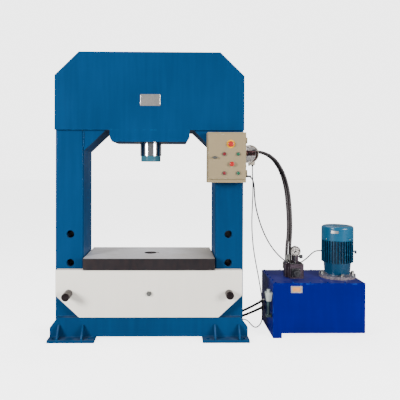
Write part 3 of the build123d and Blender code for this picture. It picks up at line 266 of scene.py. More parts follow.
bumpDepth = {"paint": 0.001, "metal": 0.0004, "plastic": 0.0005}
paintGlaze = {"Coat Weight": 0.04, "Coat Roughness": 0.12, "Specular IOR Level": 0.2, "IOR": 1.12}


def paintMaterial(name, settings):
    tree, shader, vector = newMaterial(name)
    made = useGroup(tree, paintCoat, {"Vector": vector, **settings})
    finishSurface(tree, shader, made["Color"], made, 0.12, bumpDepth["paint"])
    feed(tree, shader, paintGlaze)


def metalMaterial(name, settings, grain, bump):
    tree, shader, vector = newMaterial(name)
    lines = stretched(tree, vector, grain)
    made = useGroup(tree, metalFace, {"Vector": vector, "Grain Vector": lines, **settings})
    finishSurface(tree, shader, made["Color"], made, bump, bumpDepth["metal"])
    feed(tree, shader, {"Metallic": 1.0})


def plasticMaterial(name, settings, coat):
    tree, shader, vector = newMaterial(name)
    made = useGroup(tree, mouldedSkin, {"Vector": vector, **settings})
    finishSurface(tree, shader, made["Color"], made, 0.1, bumpDepth["plastic"])
    feed(tree, shader, {"Coat Weight": coat})


paints = {
    "press paint": {
        "Color": tint(8, 57, 97), "Shade": 0.16, "Patch Scale": 1.3, "Rub Color": tint(20, 100, 148),
        "Rub": 0.55, "Rub Width": 0.006, "Dust": 0.12, "Smooth": 0.3, "Rough": 0.42},
    "cream paint": {
        "Color": tint(252, 246, 234), "Shade": 0.03, "Patch Scale": 1.8,
        "Rub Color": tint(120, 110, 98), "Rub": 0.5, "Rub Width": 0.005, "Dust": 0.2, "Smooth": 0.32,
        "Rough": 0.5},
    "tank paint": {
        "Color": tint(6, 13, 104), "Shade": 0.14, "Patch Scale": 2.6, "Rub Color": tint(40, 84, 180),
        "Rub": 0.7, "Rub Width": 0.008, "Dust": 0.1, "Smooth": 0.22, "Rough": 0.4},
    "teal paint": {
        "Color": tint(52, 96, 112), "Shade": 0.14, "Patch Scale": 8.0, "Rub Color": tint(150, 160, 160),
        "Rub": 0.8, "Rub Width": 0.003, "Dust": 0.0, "Smooth": 0.3, "Rough": 0.45},
    "box paint": {
        "Color": tint(146, 131, 102), "Shade": 0.05, "Patch Scale": 5.0, "Peel Scale": 420.0,
        "Rub Color": tint(228, 224, 208), "Rub": 0.6, "Rub Width": 0.004, "Dust": 0.12, "Smooth": 0.34,
        "Rough": 0.5},
}
for name, settings in paints.items():
    paintMaterial(name, settings)

metals = {  # settings, the way the lines run, bump
    "dark steel": ({
        "Color": tint(60, 52, 54), "Stain Color": tint(28, 21, 19), "Stain": 0.7, "Stain Scale": 22.0,
        "Smooth": 0.32, "Rough": 0.55}, (1, 1, 1), 0.2),
    "chrome rod": ({
        "Color": tint(205, 208, 212), "Stain Color": tint(120, 122, 126), "Stain": 0.25,
        "Stain Scale": 9.0, "Grain Scale": 40.0, "Smooth": 0.08, "Rough": 0.22}, (1, 1, 12), 0.06),
    "plated steel": ({
        "Color": tint(170, 170, 165), "Stain Color": tint(112, 104, 84), "Stain": 0.4,
        "Stain Scale": 30.0, "Smooth": 0.2, "Rough": 0.42}, (1, 1, 1), 0.12),
    "gauge steel": ({
        "Color": tint(150, 146, 142), "Stain Color": tint(84, 78, 74), "Stain": 0.35,
        "Stain Scale": 40.0, "Smooth": 0.16, "Rough": 0.35}, (1, 1, 1), 0.1),
    "block steel": ({
        "Color": tint(96, 84, 94), "Stain Color": tint(44, 32, 34), "Stain": 0.75, "Stain Scale": 18.0,
        "Smooth": 0.3, "Rough": 0.6}, (1, 1, 1), 0.3),
    "cast body": ({
        "Color": tint(96, 98, 100), "Stain Color": tint(52, 50, 48), "Stain": 0.5, "Stain Scale": 30.0,
        "Grain Scale": 220.0, "Smooth": 0.45, "Rough": 0.65}, (1, 1, 1), 0.5),
    "plate metal": ({
        "Color": tint(226, 224, 220), "Stain Color": tint(176, 168, 160), "Stain": 0.3,
        "Stain Scale": 35.0, "Smooth": 0.25, "Rough": 0.42}, (1, 1, 14), 0.08),
}
for name, (settings, grain, bump) in metals.items():
    metalMaterial(name, settings, grain, bump)

plastics = {  # colour, scuffed colour, scuffing, coat
    "dark plastic": ((34, 34, 38), (90, 90, 92), 0.2, 0.1),
    "dark red plastic": ((116, 18, 26), (190, 110, 110), 0.2, 0.4),
    "green plastic": ((8, 86, 54), (110, 170, 140), 0.2, 0.4),
    "red plastic": ((172, 18, 12), (230, 120, 90), 0.2, 0.4),
    "gauge plastic": ((196, 184, 164), (224, 216, 200), 0.2, 0.2),
    "maroon plastic": ((74, 18, 26), (140, 80, 84), 0.2, 0.2),
    "olive plastic": ((82, 80, 58), (150, 146, 120), 0.2, 0.1),
    "cable sheath": ((12, 11, 12), (52, 50, 50), 0.2, 0.0),
    "dial white": ((226, 216, 212), (190, 180, 176), 0.3, 0.0),
    "ink": ((30, 28, 30), (70, 68, 68), 0.2, 0.0),
    "signal orange": ((222, 148, 88), (236, 196, 150), 0.5, 0.1),
}
for name, (color, scuffed, scuff, coat) in plastics.items():
    settings = {"Color": tint(*color), "Scuff Color": tint(*scuffed), "Scuff": scuff}
    plasticMaterial(name, settings, coat)
print("paints, metals and plastics made")


# Motor: teal cowl and fins, with the flange at its foot browned by oil and dust, and the cowl lightened above
# its foot as a painted highlight
motorPaint = {"Color": tint(0, 54, 84), "Shade": 0.14, "Patch Scale": 5.0, "Rub Color": tint(70, 140, 165),
              "Rub": 0.6, "Rub Width": 0.003, "Dust": 0.08, "Smooth": 0.2, "Rough": 0.34}
motorOil = {"solid": 0.022, "gone": 0.037, "amount": 0.85, "dark": tint(84, 76, 84),
            "pale": tint(142, 128, 128)}
# painted highlight: a lighter teal over the cowl stands in for the light falling on it
cowlPaintedLight = {"from": -0.008, "to": 0.007, "amount": 0.6, "color": tint(26, 98, 132)}


def makeMotorPaint():
    tree, shader, vector = newMaterial("motor paint")
    made = useGroup(tree, paintCoat, {"Vector": vector, **motorPaint})
    flangeFoot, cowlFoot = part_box("motor_flange")[0].z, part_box("fan_cowl")[0].z
    height = axisOf(tree, vector, "Z")
    ragged = calc(tree, "ADD", height, spread(tree, noise(tree, vector, 30.0, 5.0), 0.3, 0.7, -0.006, 0.01))
    clean = spread(tree, ragged, flangeFoot + motorOil["solid"], flangeFoot + motorOil["gone"])
    oiled = times(tree, calc(tree, "SUBTRACT", 1.0, clean), motorOil["amount"])
    # painted highlight: the cowl is lightened from its foot upward
    cowl = spread(tree, height, cowlFoot + cowlPaintedLight["from"], cowlFoot + cowlPaintedLight["to"])
    withPaintedLight = mixColor(tree, times(tree, cowl, cowlPaintedLight["amount"]), made["Color"], cowlPaintedLight["color"])
    crust = spread(tree, noise(tree, vector, 55.0, 4.0), 0.35, 0.65)
    brown = mixColor(tree, crust, motorOil["dark"], motorOil["pale"])
    finishSurface(tree, shader, mixColor(tree, oiled, withPaintedLight, brown), made, 0.12, bumpDepth["paint"])
    feed(tree, shader, {"Coat Weight": 0.3, "Coat Roughness": 0.1, "Specular IOR Level": 0.3})


# Table plate: bright worn top with lines along it, browner to the right, nearly black sides
tableTop = {"Color": tint(232, 230, 232), "Stain Color": tint(196, 189, 184), "Stain": 0.6,
            "Stain Scale": 4.5, "Grain Scale": 14.0, "Smooth": 0.3, "Rough": 0.5}
tableAge = {"browned": tint(150, 138, 118), "amount": 0.75, "from": 0.338, "to": 0.008}  # from the right end
tableSides = {"dark": tint(15, 10, 17), "pale": tint(34, 21, 22), "rubbed": tint(150, 142, 136), "rub": 0.5,
              "rubWidth": 0.004, "rougher": 0.15}


def makeTableSteel():
    tree, shader, vector = newMaterial("table steel")
    lines = stretched(tree, vector, (1.2, 22, 1))
    made = useGroup(tree, metalFace, {"Vector": vector, "Grain Vector": lines, **tableTop})
    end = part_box("bolster_plate")[1].x
    brown = spread(tree, axisOf(tree, vector, "X"), end - tableAge["from"], end - tableAge["to"])
    topColor = mixColor(tree, times(tree, brown, tableAge["amount"]), made["Color"], tableAge["browned"])
    scale = spread(tree, noise(tree, stretched(tree, vector, (3, 3, 1)), 9.0, 5.0), 0.35, 0.7)
    sideColor = mixColor(tree, scale, tableSides["dark"], tableSides["pale"])
    top = spread(tree, facingUp(tree), 0.6, 0.95)
    rub = useGroup(tree, edgeRub, {"Vector": vector, "Width": tableSides["rubWidth"]})["Mask"]
    sides = mixColor(tree, times(tree, rub, tableSides["rub"]), sideColor, tableSides["rubbed"])
    added = times(tree, calc(tree, "SUBTRACT", 1.0, top), tableSides["rougher"])
    rough = {"Roughness": calc(tree, "ADD", made["Roughness"], added), "Height": made["Height"]}
    finishSurface(tree, shader, mixColor(tree, top, sides, topColor), rough, 0.2, 0.0006)
    feed(tree, shader, {"Metallic": spread(tree, top, 0.0, 1.0, 0.25, 0.4)})


# Hose cover: black rubber with a fine wrapped-cloth lay and grey scuffs
hoseRubber = {"Color": tint(34, 28, 30), "Scuff Color": tint(104, 84, 84), "Scuff": 0.45,
              "Grain Scale": 300.0, "Smooth": 0.4, "Rough": 0.62}
hoseLay = {"pitch": 95.0, "color": tint(70, 58, 60), "amount": 0.35}


def makeHoseRubber():
    tree, shader, vector = newMaterial("hose rubber")
    bands = {"Vector": stretched(tree, vector, (1, 1, 1.6)), "Scale": hoseLay["pitch"], "Distortion": 1.5,
             "Detail": 2.0, "Detail Scale": 2.0}
    wave = addNode(tree, "TexWave", bands, wave_type="BANDS", bands_direction="DIAGONAL")
    wrap = wave.outputs["Fac"]
    made = useGroup(tree, mouldedSkin, {"Vector": vector, **hoseRubber})
    shade = mixColor(tree, times(tree, wrap, hoseLay["amount"]), made["Color"], hoseLay["color"])
    height = calc(tree, "ADD", wrap, times(tree, made["Height"], 0.4))
    finishSurface(tree, shader, shade, made, 0.35, 0.0008, height)


# Level gauge: pale moulded head, dark green tube below with a clear oil line
levelGauge = {"tubeHeight": 0.124, "oilHeight": 0.086, "head": tint(186, 196, 188), "tube": tint(38, 66, 68),
              "oil": tint(12, 36, 42), "scuffs": tint(150, 160, 150)}


def makeLevelPlastic():
    tree, shader, vector = newMaterial("level plastic")
    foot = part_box("level_gauge")[0].z
    height = axisOf(tree, vector, "Z")
    tube = calc(tree, "LESS_THAN", height, foot + levelGauge["tubeHeight"])
    oil = times(tree, calc(tree, "LESS_THAN", height, foot + levelGauge["oilHeight"]), 0.8)
    base = mixColor(tree, tube, levelGauge["head"], levelGauge["tube"])
    filled = mixColor(tree, oil, base, levelGauge["oil"])
    given = {"Vector": vector, "Color": filled, "Scuff Color": levelGauge["scuffs"]}
    made = useGroup(tree, mouldedSkin, given)
    finishSurface(tree, shader, made["Color"], made, 0.08, bumpDepth["plastic"])
    feed(tree, shader, {"Coat Weight": 0.5})


# Button rings: chromed, with the emergency stop's ring in yellow
brightRings = {"Color": tint(196, 194, 188), "Stain Color": tint(140, 136, 126), "Stain": 0.3,
               "Stain Scale": 60.0, "Grain Scale": 200.0, "Smooth": 0.18, "Rough": 0.35}
stopRing = {"below": 0.018, "clean": tint(240, 176, 24), "grimy": tint(206, 128, 22)}


def makeBrightRings():
    tree, shader, vector = newMaterial("bright rings")
    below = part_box("estop_button")[0].z - stopRing["below"]  # between the emergency stop's ring and the next
    high = calc(tree, "GREATER_THAN", axisOf(tree, vector, "Z"), below)
    made = useGroup(tree, metalFace, {"Vector": vector, "Grain Vector": vector, **brightRings})
    grime = spread(tree, noise(tree, vector, 80.0, 4.0), 0.4, 0.75, 0.0, 0.4)
    yellow = mixColor(tree, grime, stopRing["clean"], stopRing["grimy"])
    finishSurface(tree, shader, mixColor(tree, high, made["Color"], yellow), made, 0.08, bumpDepth["metal"])
    feed(tree, shader, {"Metallic": calc(tree, "SUBTRACT", 1.0, high)})


# Gauge windows: thin clear glass with a faint smear
def makeGaugeGlass():
    tree, shader, vector = newMaterial("gauge glass")
    smear = spread(tree, noise(tree, stretched(tree, vector, (1, 1, 3)), 40.0, 4.0), 0.45, 0.75)
    color = mixColor(tree, smear, (0.96, 0.97, 0.96, 1), (0.9, 0.9, 0.88, 1))
    feed(tree, shader, {"Base Color": color, "Roughness": spread(tree, smear, 0.0, 1.0, 0.02, 0.12),
                        "Transmission Weight": 1.0, "IOR": 1.15})


# Contactor panel: galvanised back plate, dark relays standing on it
relayPlastic = {"Color": tint(46, 46, 50), "Scuff Color": tint(120, 120, 122)}
panelZinc = {"depth": 0.0065, "dull": tint(150, 152, 156), "bright": tint(184, 186, 188)}


def makeSwitchgear():
    tree, shader, vector = newMaterial("switchgear")
    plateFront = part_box("contactor_panel")[1].y - panelZinc["depth"]
    plate = calc(tree, "GREATER_THAN", axisOf(tree, vector, "Y"), plateFront)
    made = useGroup(tree, mouldedSkin, {"Vector": vector, **relayPlastic})
    cells = addNode(tree, "TexVoronoi", {"Vector": vector, "Scale": 45.0}).outputs["Distance"]
    plated = mixColor(tree, spread(tree, cells, 0.1, 0.8), panelZinc["dull"], panelZinc["bright"])
    color = mixColor(tree, plate, made["Color"], plated)
    finishSurface(tree, shader, color, made, 0.1, bumpDepth["plastic"])
    feed(tree, shader, {"Metallic": times(tree, plate, 0.85)})


for make in (makeMotorPaint, makeTableSteel, makeHoseRubber, makeLevelPlastic, makeBrightRings,
             makeGaugeGlass, makeSwitchgear):
    make()

nodeFinish = {
    "press paint": ["left_column", "right_column", "crown_front_plate", "crown_rear_plate", "crown_cover",
                    "crown_webs", "corner_braces", "cylinder_beam", "base_channels", "feet",
                    "cylinder_barrel"],
    "cream paint": ["front_table_plate", "rear_table_plate", "table_webs"],
    "table steel": ["bolster_plate"],
    "gauge steel": ["cylinder_gland", "block_gauge"],
    "dark steel": ["left_table_pin", "right_table_pin", "cylinder_pipes", "motor_rotor"],
    "block steel": ["valve_block"],
    "chrome rod": ["ram"],
    "teal paint": ["ram_nose"],
    "plated steel": ["hose_fittings", "door_latch", "bolts"],
    "box paint": ["control_box", "control_door"],
    "switchgear": ["contactor_panel"],
    "dark plastic": ["contact_blocks", "contact_gauge_needle", "block_gauge_needle", "relief_knob",
                     "cable_glands", "solenoid_valve"],
    "bright rings": ["button_bezels"],
    "dark red plastic": ["pump_stop_button", "ram_down_button"],
    "green plastic": ["pump_start_button", "ram_up_button"],
    "red plastic": ["estop_button", "ram_stop_button"],
    "gauge plastic": ["contact_gauge"],
    "gauge glass": ["gauge_glasses"],
    "tank paint": ["oil_tank", "tank_lid"],
    "motor paint": ["motor_flange", "motor_frame", "fan_cowl", "motor_terminal_box"],
    "cast body": ["oil_pump"],
    "olive plastic": ["filler_breather"],
    "level plastic": ["level_gauge"],
}
for finish, names in nodeFinish.items():
    for name in names:
        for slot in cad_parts[name].material_slots:
            slot.material = finishes[finish]
print("finishes on", sum(len(names) for names in nodeFinish.values()), "carried-over solids")


def addPiece(name, data, finish, body="press"):
    piece = linked(name, data)
    data.materials.append(finishes[finish])
    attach(piece, body)
    return piece


# Hoses and cables on the routes of the solids, millimetres from the ram axis
cords = {
    "innerMainHose": {
        "node": "inner_main_hose", "diameter": 24, "length": 1054, "stiffness": "stiff",
        "points": [
            (790, 160, 1452), (895, 159, 1454), (1006, 146, 1408), (1082, 127, 1294), (1119, 101, 1150),
            (1131, 75, 990), (1134, 55, 850), (1125, 29, 748), (1109, 8, 668), (1109, 8, 604)]},
    "outerMainHose": {
        "node": "outer_main_hose", "diameter": 24, "length": 1070, "stiffness": "stiff",
        "points": [
            (790, 122, 1452), (905, 124, 1454), (1024, 121, 1402), (1103, 107, 1282), (1143, 91, 1132),
            (1156, 75, 980), (1158, 61, 845), (1151, 41, 748), (1139, 20, 668), (1139, 20, 604)]},
    "upperDrainHose": {
        "node": "upper_drain_hose", "diameter": 20, "length": 185, "stiffness": "stiff",
        "points": [(923.9, 158, 175), (840.5, 158, 127), (758.3, 158, 92.5)]},
    "lowerDrainHose": {
        "node": "lower_drain_hose", "diameter": 20, "length": 178, "stiffness": "stiff",
        "points": [(923.3, 158, 120.3), (840.5, 158, 79.5), (758.9, 158, 52)]},
    "motorCable": {
        "node": "motor_cable", "diameter": 10, "length": 1314, "stiffness": "medium",
        "points": [
            (738, -250, 1248), (759, -250, 1248), (774, -250, 1240), (784, -249, 1226), (792, -247, 1208),
            (798, -243, 1182), (802, -236, 1146), (806, -227, 1096), (814, -215, 1030), (835, -204, 944),
            (864, -192, 858), (904, -181, 770), (952, -168, 692), (1006, -157, 629), (1060, -150, 583),
            (1110, -144, 560), (1158, -128, 555), (1204, -98, 564), (1250, -50, 577), (1292, 8, 589),
            (1330, 68, 599), (1358, 111, 604), (1380, 138, 607), (1399, 153, 609), (1420, 160, 610),
            (1441, 160, 610)]},
    "gaugeCable": {
        "node": "gauge_cable", "diameter": 9, "length": 1570, "stiffness": "medium",
        "points": [
            (838, 73.5, 1323), (838, 73.5, 1262), (842, 70, 1190), (843, 73, 1111), (840, 77, 1003),
            (836, 81, 878), (839, 85, 778), (849, 90, 662), (867, 97, 553), (887, 104, 455),
            (906, 110, 362), (921, 114, 275), (931, 116, 198), (935, 114, 137), (934, 104, 87),
            (926, 84, 47), (908, 56, 20), (884, 26, 10), (858, -4, 11), (834, -24, 25), (813, -38, 48),
            (796, -40, 69), (779, -40, 83), (759, -40, 90), (738, -40, 90)]},
}

cordFineness = {"along": 10, "around": 5}


def layCord(name, settings):
    line = bpy.data.curves.new(name, "CURVE")
    line.dimensions = "3D"
    run = line.splines.new("NURBS")
    run.points.add(len(settings["points"]) - 1)
    for point, spot in zip(run.points, settings["points"]):
        point.co = (*place(*spot), 1)
    run.order_u = 3
    run.use_endpoint_u = True
    line.resolution_u = cordFineness["along"]
    line.bevel_depth = settings["diameter"] / 2 * mm
    line.bevel_resolution = cordFineness["around"]
    line.use_fill_caps = True
    return line


def meshFrom(curve):  # the mesh of a curve or a text, which is then let go
    holder = bpy.data.objects.new("holder", curve)
    mesh = bpy.data.meshes.new_from_object(holder)
    bpy.data.objects.remove(holder)
    bpy.data.curves.remove(curve)
    return mesh


def routePoints(line):  # the cord's own line, read from a copy with no thickness
    bare = line.copy()
    bare.bevel_depth = 0
    mesh = meshFrom(bare)
    points = [vertex.co.copy() for vertex in mesh.vertices]
    bpy.data.meshes.remove(mesh)
    return points


routes = {}
for name, settings in cords.items():
    finish = "hose rubber" if settings["stiffness"] == "stiff" else "cable sheath"
    line = layCord(name, settings)
    routes[name] = routePoints(line)
    addPiece(name, line, finish)
    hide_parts(settings["node"])
print("cords laid:", ", ".join(cords))


# Shape helpers, with all sizes in millimetres
def addBlock(shape, low, high):
    low, high = place(*low), place(*high)
    middle = Matrix.Translation((low + high) / 2)
    bmesh.ops.create_cube(shape, size=1, matrix=middle @ Matrix.Diagonal((*(high - low), 1)))


def facing(spot, way):  # a frame at spot in millimetres whose Z looks along way
    return Matrix.Translation(place(*spot)) @ Vector(way).to_track_quat("Z", "Y").to_matrix().to_4x4()


def addRod(shape, spot, way, radius, length, sides=32, tip=None):  # stands on spot and grows along way
    middle = facing(spot, way) @ Matrix.Translation((0, 0, length / 2 * mm))
    end = radius if tip is None else tip
    made = bmesh.ops.create_cone(shape, cap_ends=True, segments=sides, radius1=radius * mm,
                                 radius2=end * mm, depth=length * mm, matrix=middle)
    return made["verts"]


def turned(spot, way, profile, steps=32):  # profile of radius and height, both ends on the axis
    shape = bmesh.new()
    points = [shape.verts.new((radius * mm, 0, height * mm)) for radius, height in profile]
    edges = [shape.edges.new(pair) for pair in zip(points, points[1:])]
    bmesh.ops.spin(shape, geom=points + edges, cent=(0, 0, 0), axis=(0, 0, 1), angle=2 * pi,
                   steps=steps, use_merge=True)
    bmesh.ops.remove_doubles(shape, verts=shape.verts, dist=1e-6)
    bmesh.ops.transform(shape, matrix=facing(spot, way), verts=shape.verts)
    return shape


def bevelled(shape, edges, width, segments):
    bmesh.ops.bevel(shape, geom=edges, offset=width * mm, affect="EDGES", segments=segments,
                    profile=0.5, material=-1)


def soften(shape, width, segments=2, angle=0.6):
    sharp = [edge for edge in shape.edges if len(edge.link_faces) == 2 and edge.calc_face_angle() > angle]
    bevelled(shape, sharp, width, segments)


def addShape(name, shape, finish, body="press", smooth=0.7):
    bmesh.ops.recalc_face_normals(shape, faces=shape.faces)
    for face in shape.faces:
        face.smooth = True
    for edge in shape.edges:
        if len(edge.link_faces) == 2 and edge.calc_face_angle() > smooth:
            edge.smooth = False
    mesh = bpy.data.meshes.new(name)
    shape.to_mesh(mesh)
    shape.free()
    return addPiece(name, mesh, finish, body)


def cutCorners(shape, way, radius):  # rounds the edges that run along one axis, 0 for X, 1 for Y, 2 for Z
    along = [edge for edge in shape.edges
             if abs((edge.verts[0].co - edge.verts[1].co).normalized()[way]) > 0.99]
    bevelled(shape, along, radius, 4)


def addStrip(shape, pairs):  # faces between neighbouring pairs of places
    rows = [[shape.verts.new(place(*spot)) for spot in pair] for pair in pairs]
    for first, second in zip(rows, rows[1:]):
        shape.faces.new((first[0], first[1], second[1], second[0]))


def thickened(shape, thick):
    bmesh.ops.recalc_face_normals(shape, faces=shape.faces)
    bmesh.ops.solidify(shape, geom=shape.faces[:], thickness=thick * mm)


# Bare plates with a raised edge, held by rivets
plates = {  # left and bottom are counted from the solid that carries the plate
    "crownPlate": {"on": "crown_front_plate", "left": 652, "bottom": 184, "width": 157, "height": 89,
                   "thick": 1.5, "round": 5, "rivet": 2.6},
    "tankPlate": {"on": "oil_tank", "left": 135, "bottom": 350, "width": 89, "height": 54,
                  "thick": 1.2, "round": 3, "rivet": 2.0, "field": "signal orange"},
}
plateRim = {"width": 3.5, "slope": 0.8, "sink": 0.4}
rivets = {"inset": 2.2, "sink": 0.5, "height": 2.2, "round": 0.8}
field = {"insetX": 13, "insetZ": 10, "sink": 0.2, "stand": 0.25, "round": 2}
for name, plate in plates.items():
    corner = limits(plate["on"])[0]
    left, front, bottom = corner.x + plate["left"], corner.y, corner.z + plate["bottom"]
    rightEnd, top, face = left + plate["width"], bottom + plate["height"], front - plate["thick"]
    shape = bmesh.new()
    addBlock(shape, (left, face, bottom), (rightEnd, front, top))
    cutCorners(shape, 1, plate["round"])
    outside = min(shape.faces, key=lambda side: side.calc_center_median().y)
    bmesh.ops.inset_region(shape, faces=[outside], thickness=plateRim["width"] * mm, depth=0)
    bmesh.ops.inset_region(shape, faces=[outside], thickness=plateRim["slope"] * mm,
                           depth=-plateRim["sink"] * mm)
    addShape(name, shape, "plate metal", smooth=0.4)
    shape = bmesh.new()
    edge = rivets["inset"] * plate["rivet"]
    for x in (left + edge, rightEnd - edge):
        for z in (bottom + edge, top - edge):
            addRod(shape, (x, front - rivets["sink"], z), (0, -1, 0), plate["rivet"], rivets["height"], 16)
    soften(shape, rivets["round"], 3)
    addShape(name + "Rivets", shape, "plated steel")
    if "field" in plate:
        shape = bmesh.new()
        insetX, insetZ = field["insetX"], field["insetZ"]
        addBlock(shape, (left + insetX, face - field["stand"], bottom + insetZ),
                 (rightEnd - insetX, face + field["sink"], top - insetZ))
        cutCorners(shape, 1, field["round"])
        addShape(name + "Field", shape, plate["field"])
print("plates on")


# Dials: a pale face, and a scale with plain numbers
dials = {
    "contactDial": {"in": "contact_gauge", "caseRadius": 75, "recess": 12, "radius": 68.6, "scale": 60,
                    "numberAt": 45, "size": 10, "small": 2},
    "blockDial": {"in": "block_gauge", "caseRadius": 40, "recess": 8, "radius": 35.6, "scale": 32,
                  "numberAt": 23, "size": 6, "small": 5},
}
dialScale = {"last": 40, "step": 10, "start": 225, "sweep": 270, "thick": 0.6, "print": 0.7,
             "tickHeight": 0.2, "digitHeight": 0.1}
ticks = {"long": (0.13, 0.018), "short": (0.07, 0.01)}  # length and width in shares of the scale


def dialCentre(dial):
    low, high = limits(dial["in"])
    return high.x - dial["caseRadius"], low.y + dial["recess"], high.z - dial["caseRadius"]


def around(centre, radius, turn, rise=0):  # a place on a circle seen from the front
    return centre[0] + cos(turn) * radius, centre[1] - rise, centre[2] + sin(turn) * radius


def scaleTurn(share):
    return radians(dialScale["start"] - dialScale["sweep"] * share)


def digitMesh(number, size):
    words = bpy.data.curves.new("number", "FONT")
    words.body = str(number)
    words.size = size * mm
    words.extrude = dialScale["digitHeight"] * mm
    words.align_x = words.align_y = "CENTER"
    return meshFrom(words)


for name, dial in dials.items():
    centre = dialCentre(dial)
    shape = bmesh.new()
    addRod(shape, centre, (0, -1, 0), dial["radius"], dialScale["thick"], 64)
    addShape(name, shape, "dial white")
    shape = bmesh.new()
    marks = dialScale["last"] // dial["small"]
    for mark in range(marks + 1):
        turn = scaleTurn(mark / marks)
        kind = "short" if mark * dial["small"] % dialScale["step"] else "long"
        reach, thick = (dial["scale"] * share for share in ticks[kind])
        size = Vector((reach, dialScale["tickHeight"], thick)) * mm
        tick = bmesh.ops.create_cube(shape, size=1, matrix=Matrix.Diagonal((*size, 1)))
        spot = place(*around(centre, dial["scale"] - reach / 2, turn, dialScale["print"]))
        bmesh.ops.transform(shape, verts=tick["verts"],
                            matrix=Matrix.Translation(spot) @ Matrix.Rotation(-turn, 4, "Y"))
    for number in range(0, dialScale["last"] + 1, dialScale["step"]):
        digits = digitMesh(number, dial["size"])
        turn = scaleTurn(number / dialScale["last"])
        spot = place(*around(centre, dial["numberAt"], turn, dialScale["print"]))
        digits.transform(Matrix.Translation(spot) @ Matrix.Rotation(pi / 2, 4, "X"))
        shape.from_mesh(digits)
        bpy.data.meshes.remove(digits)
    addShape(name + "Scale", shape, "ink")

# Contact gauge: dark red field across the dial and a crescent of the same red down its right side
redField = {"rise": 0.6, "thick": 0.4, "radius": 68, "low": -13, "high": 30, "right": 48, "steps": 12}
crescent = {"rise": 0.7, "inner": 53, "start": -66, "end": 24, "steps": 18, "point": 12}
centre = dialCentre(dials["contactDial"])
shape = bmesh.new()
pairs = []
for step in range(redField["steps"] + 1):
    height = redField["low"] + (redField["high"] - redField["low"]) * step / redField["steps"]
    chord = sqrt(redField["radius"] ** 2 - height ** 2)
    pairs.append([(centre[0] + reach, centre[1] - redField["rise"], centre[2] + height)
                  for reach in (-chord, min(redField["right"], chord))])
addStrip(shape, pairs)
pairs = []
for step in range(crescent["steps"] + 1):
    turn = radians(crescent["start"] + (crescent["end"] - crescent["start"]) * step / crescent["steps"])
    swell = sin(pi * min(1, (step + 2) / crescent["point"]) / 2)
    inner = redField["radius"] - (redField["radius"] - crescent["inner"]) * swell
    pairs.append([around(centre, reach, turn, crescent["rise"]) for reach in (inner, redField["radius"])])
addStrip(shape, pairs)
thickened(shape, redField["thick"])
addShape("contactField", shape, "maroon plastic")
print("dials printed")


# Screws: hexagon heads on washers, in shares of the head's radius
hexHead = {"washer": 1.05, "washerHeight": 0.16, "height": 0.72, "crown": 0.82, "crownHeight": 0.1,
           "crownTip": 0.7, "round": 0.06}


def addHexScrew(shape, spot, way, size):
    spot, way = Vector(spot), Vector(way)
    addRod(shape, spot, way, size * hexHead["washer"], size * hexHead["washerHeight"], 24)
    spot += way * size * hexHead["washerHeight"]
    addRod(shape, spot, way, size, size * hexHead["height"], 6)
    spot += way * size * hexHead["height"]
    addRod(shape, spot, way, size * hexHead["crown"], size * hexHead["crownHeight"], 24,
           size * hexHead["crownTip"])


def addScrews(name, size, screws, finish="plated steel"):  # each screw is a place and the way its head looks
    shape = bmesh.new()
    for spot, way in screws:
        addHexScrew(shape, spot, way, size)
    soften(shape, size * hexHead["round"], 1)
    addShape(name, shape, finish)


# Round the tank's lid
lidScrews = {"size": 6.5, "inset": 14, "first": 20, "pitch": 135, "count": 6, "sides": (102, 197, 292, 382)}
low, high = limits("tank_lid")
lidTop, inset = limits("valve_block")[0].z, lidScrews["inset"]
across = [low.x + lidScrews["first"] + lidScrews["pitch"] * number for number in range(lidScrews["count"])]
spots = [(x, y) for y in (low.y + inset, high.y - inset) for x in across]
spots += [(x, low.y + back) for x in (low.x + inset, high.x - inset) for back in lidScrews["sides"]]
addScrews("lidScrews", lidScrews["size"], [((x, y, lidTop), (0, 0, 1)) for x, y in spots], "tank paint")

# Round the cowl, on the pump's axis
cowlScrews = {"size": 5, "radius": 125.6, "rise": 12, "turns": (30, 120, 210, 300)}
low, high = limits("oil_pump")
cowlFoot = Vector(((low.x + high.x) / 2, (low.y + high.y) / 2, limits("fan_cowl")[0].z))


def onCowl(radius, rise, turn):
    turn = radians(turn)
    return cowlFoot + Vector((cos(turn) * radius, sin(turn) * radius, rise))


addScrews("cowlScrews", cowlScrews["size"],
          [(onCowl(cowlScrews["radius"], cowlScrews["rise"], turn), onCowl(1, 0, turn) - cowlFoot)
           for turn in cowlScrews["turns"]])

# On the lid of the motor's terminal box
terminalLid = {"inset": 2, "thick": 3, "corner": 8, "round": 0.8}
terminalScrews = {"size": 3.2, "across": 50, "up": 45}
low, high = limits("motor_terminal_box")
centre, face = (low + high) / 2, high.y + terminalLid["thick"]
addScrews("terminalScrews", terminalScrews["size"],
          [((centre.x + side * terminalScrews["across"], face, centre.z + rise * terminalScrews["up"]),
            (0, 1, 0)) for side in (-1, 1) for rise in (-1, 1)])
inset = terminalLid["inset"]
lid = bmesh.new()
addBlock(lid, (low.x + inset, high.y, low.z + inset), (high.x - inset, face, high.z - inset))
cutCorners(lid, 1, terminalLid["corner"])
soften(lid, terminalLid["round"], 2)

# On the solenoid valve and the valve block
solenoidScrews = {"size": 3.4, "offset": 26, "depth": 16}
low, high = limits("solenoid_valve")
centre, face, offset = (low + high) / 2, high.y - solenoidScrews["depth"], solenoidScrews["offset"]
addScrews("solenoidScrews", solenoidScrews["size"],
          [((centre.x + side, face, centre.z + rise), (0, -1, 0))
           for side in (-offset, offset) for rise in (-offset, offset)])
blockScrews = {"size": 6.5, "inset": 12, "left": 37}
low, high = limits("valve_block")
blockTop, inset = limits("block_gauge")[0].z, blockScrews["inset"]
spots = [(low.x + blockScrews["left"], low.y + inset), (high.x - inset, low.y + inset),
         (high.x - inset, high.y - inset)]
addScrews("blockScrews", blockScrews["size"], [((x, y, blockTop), (0, 0, 1)) for x, y in spots])
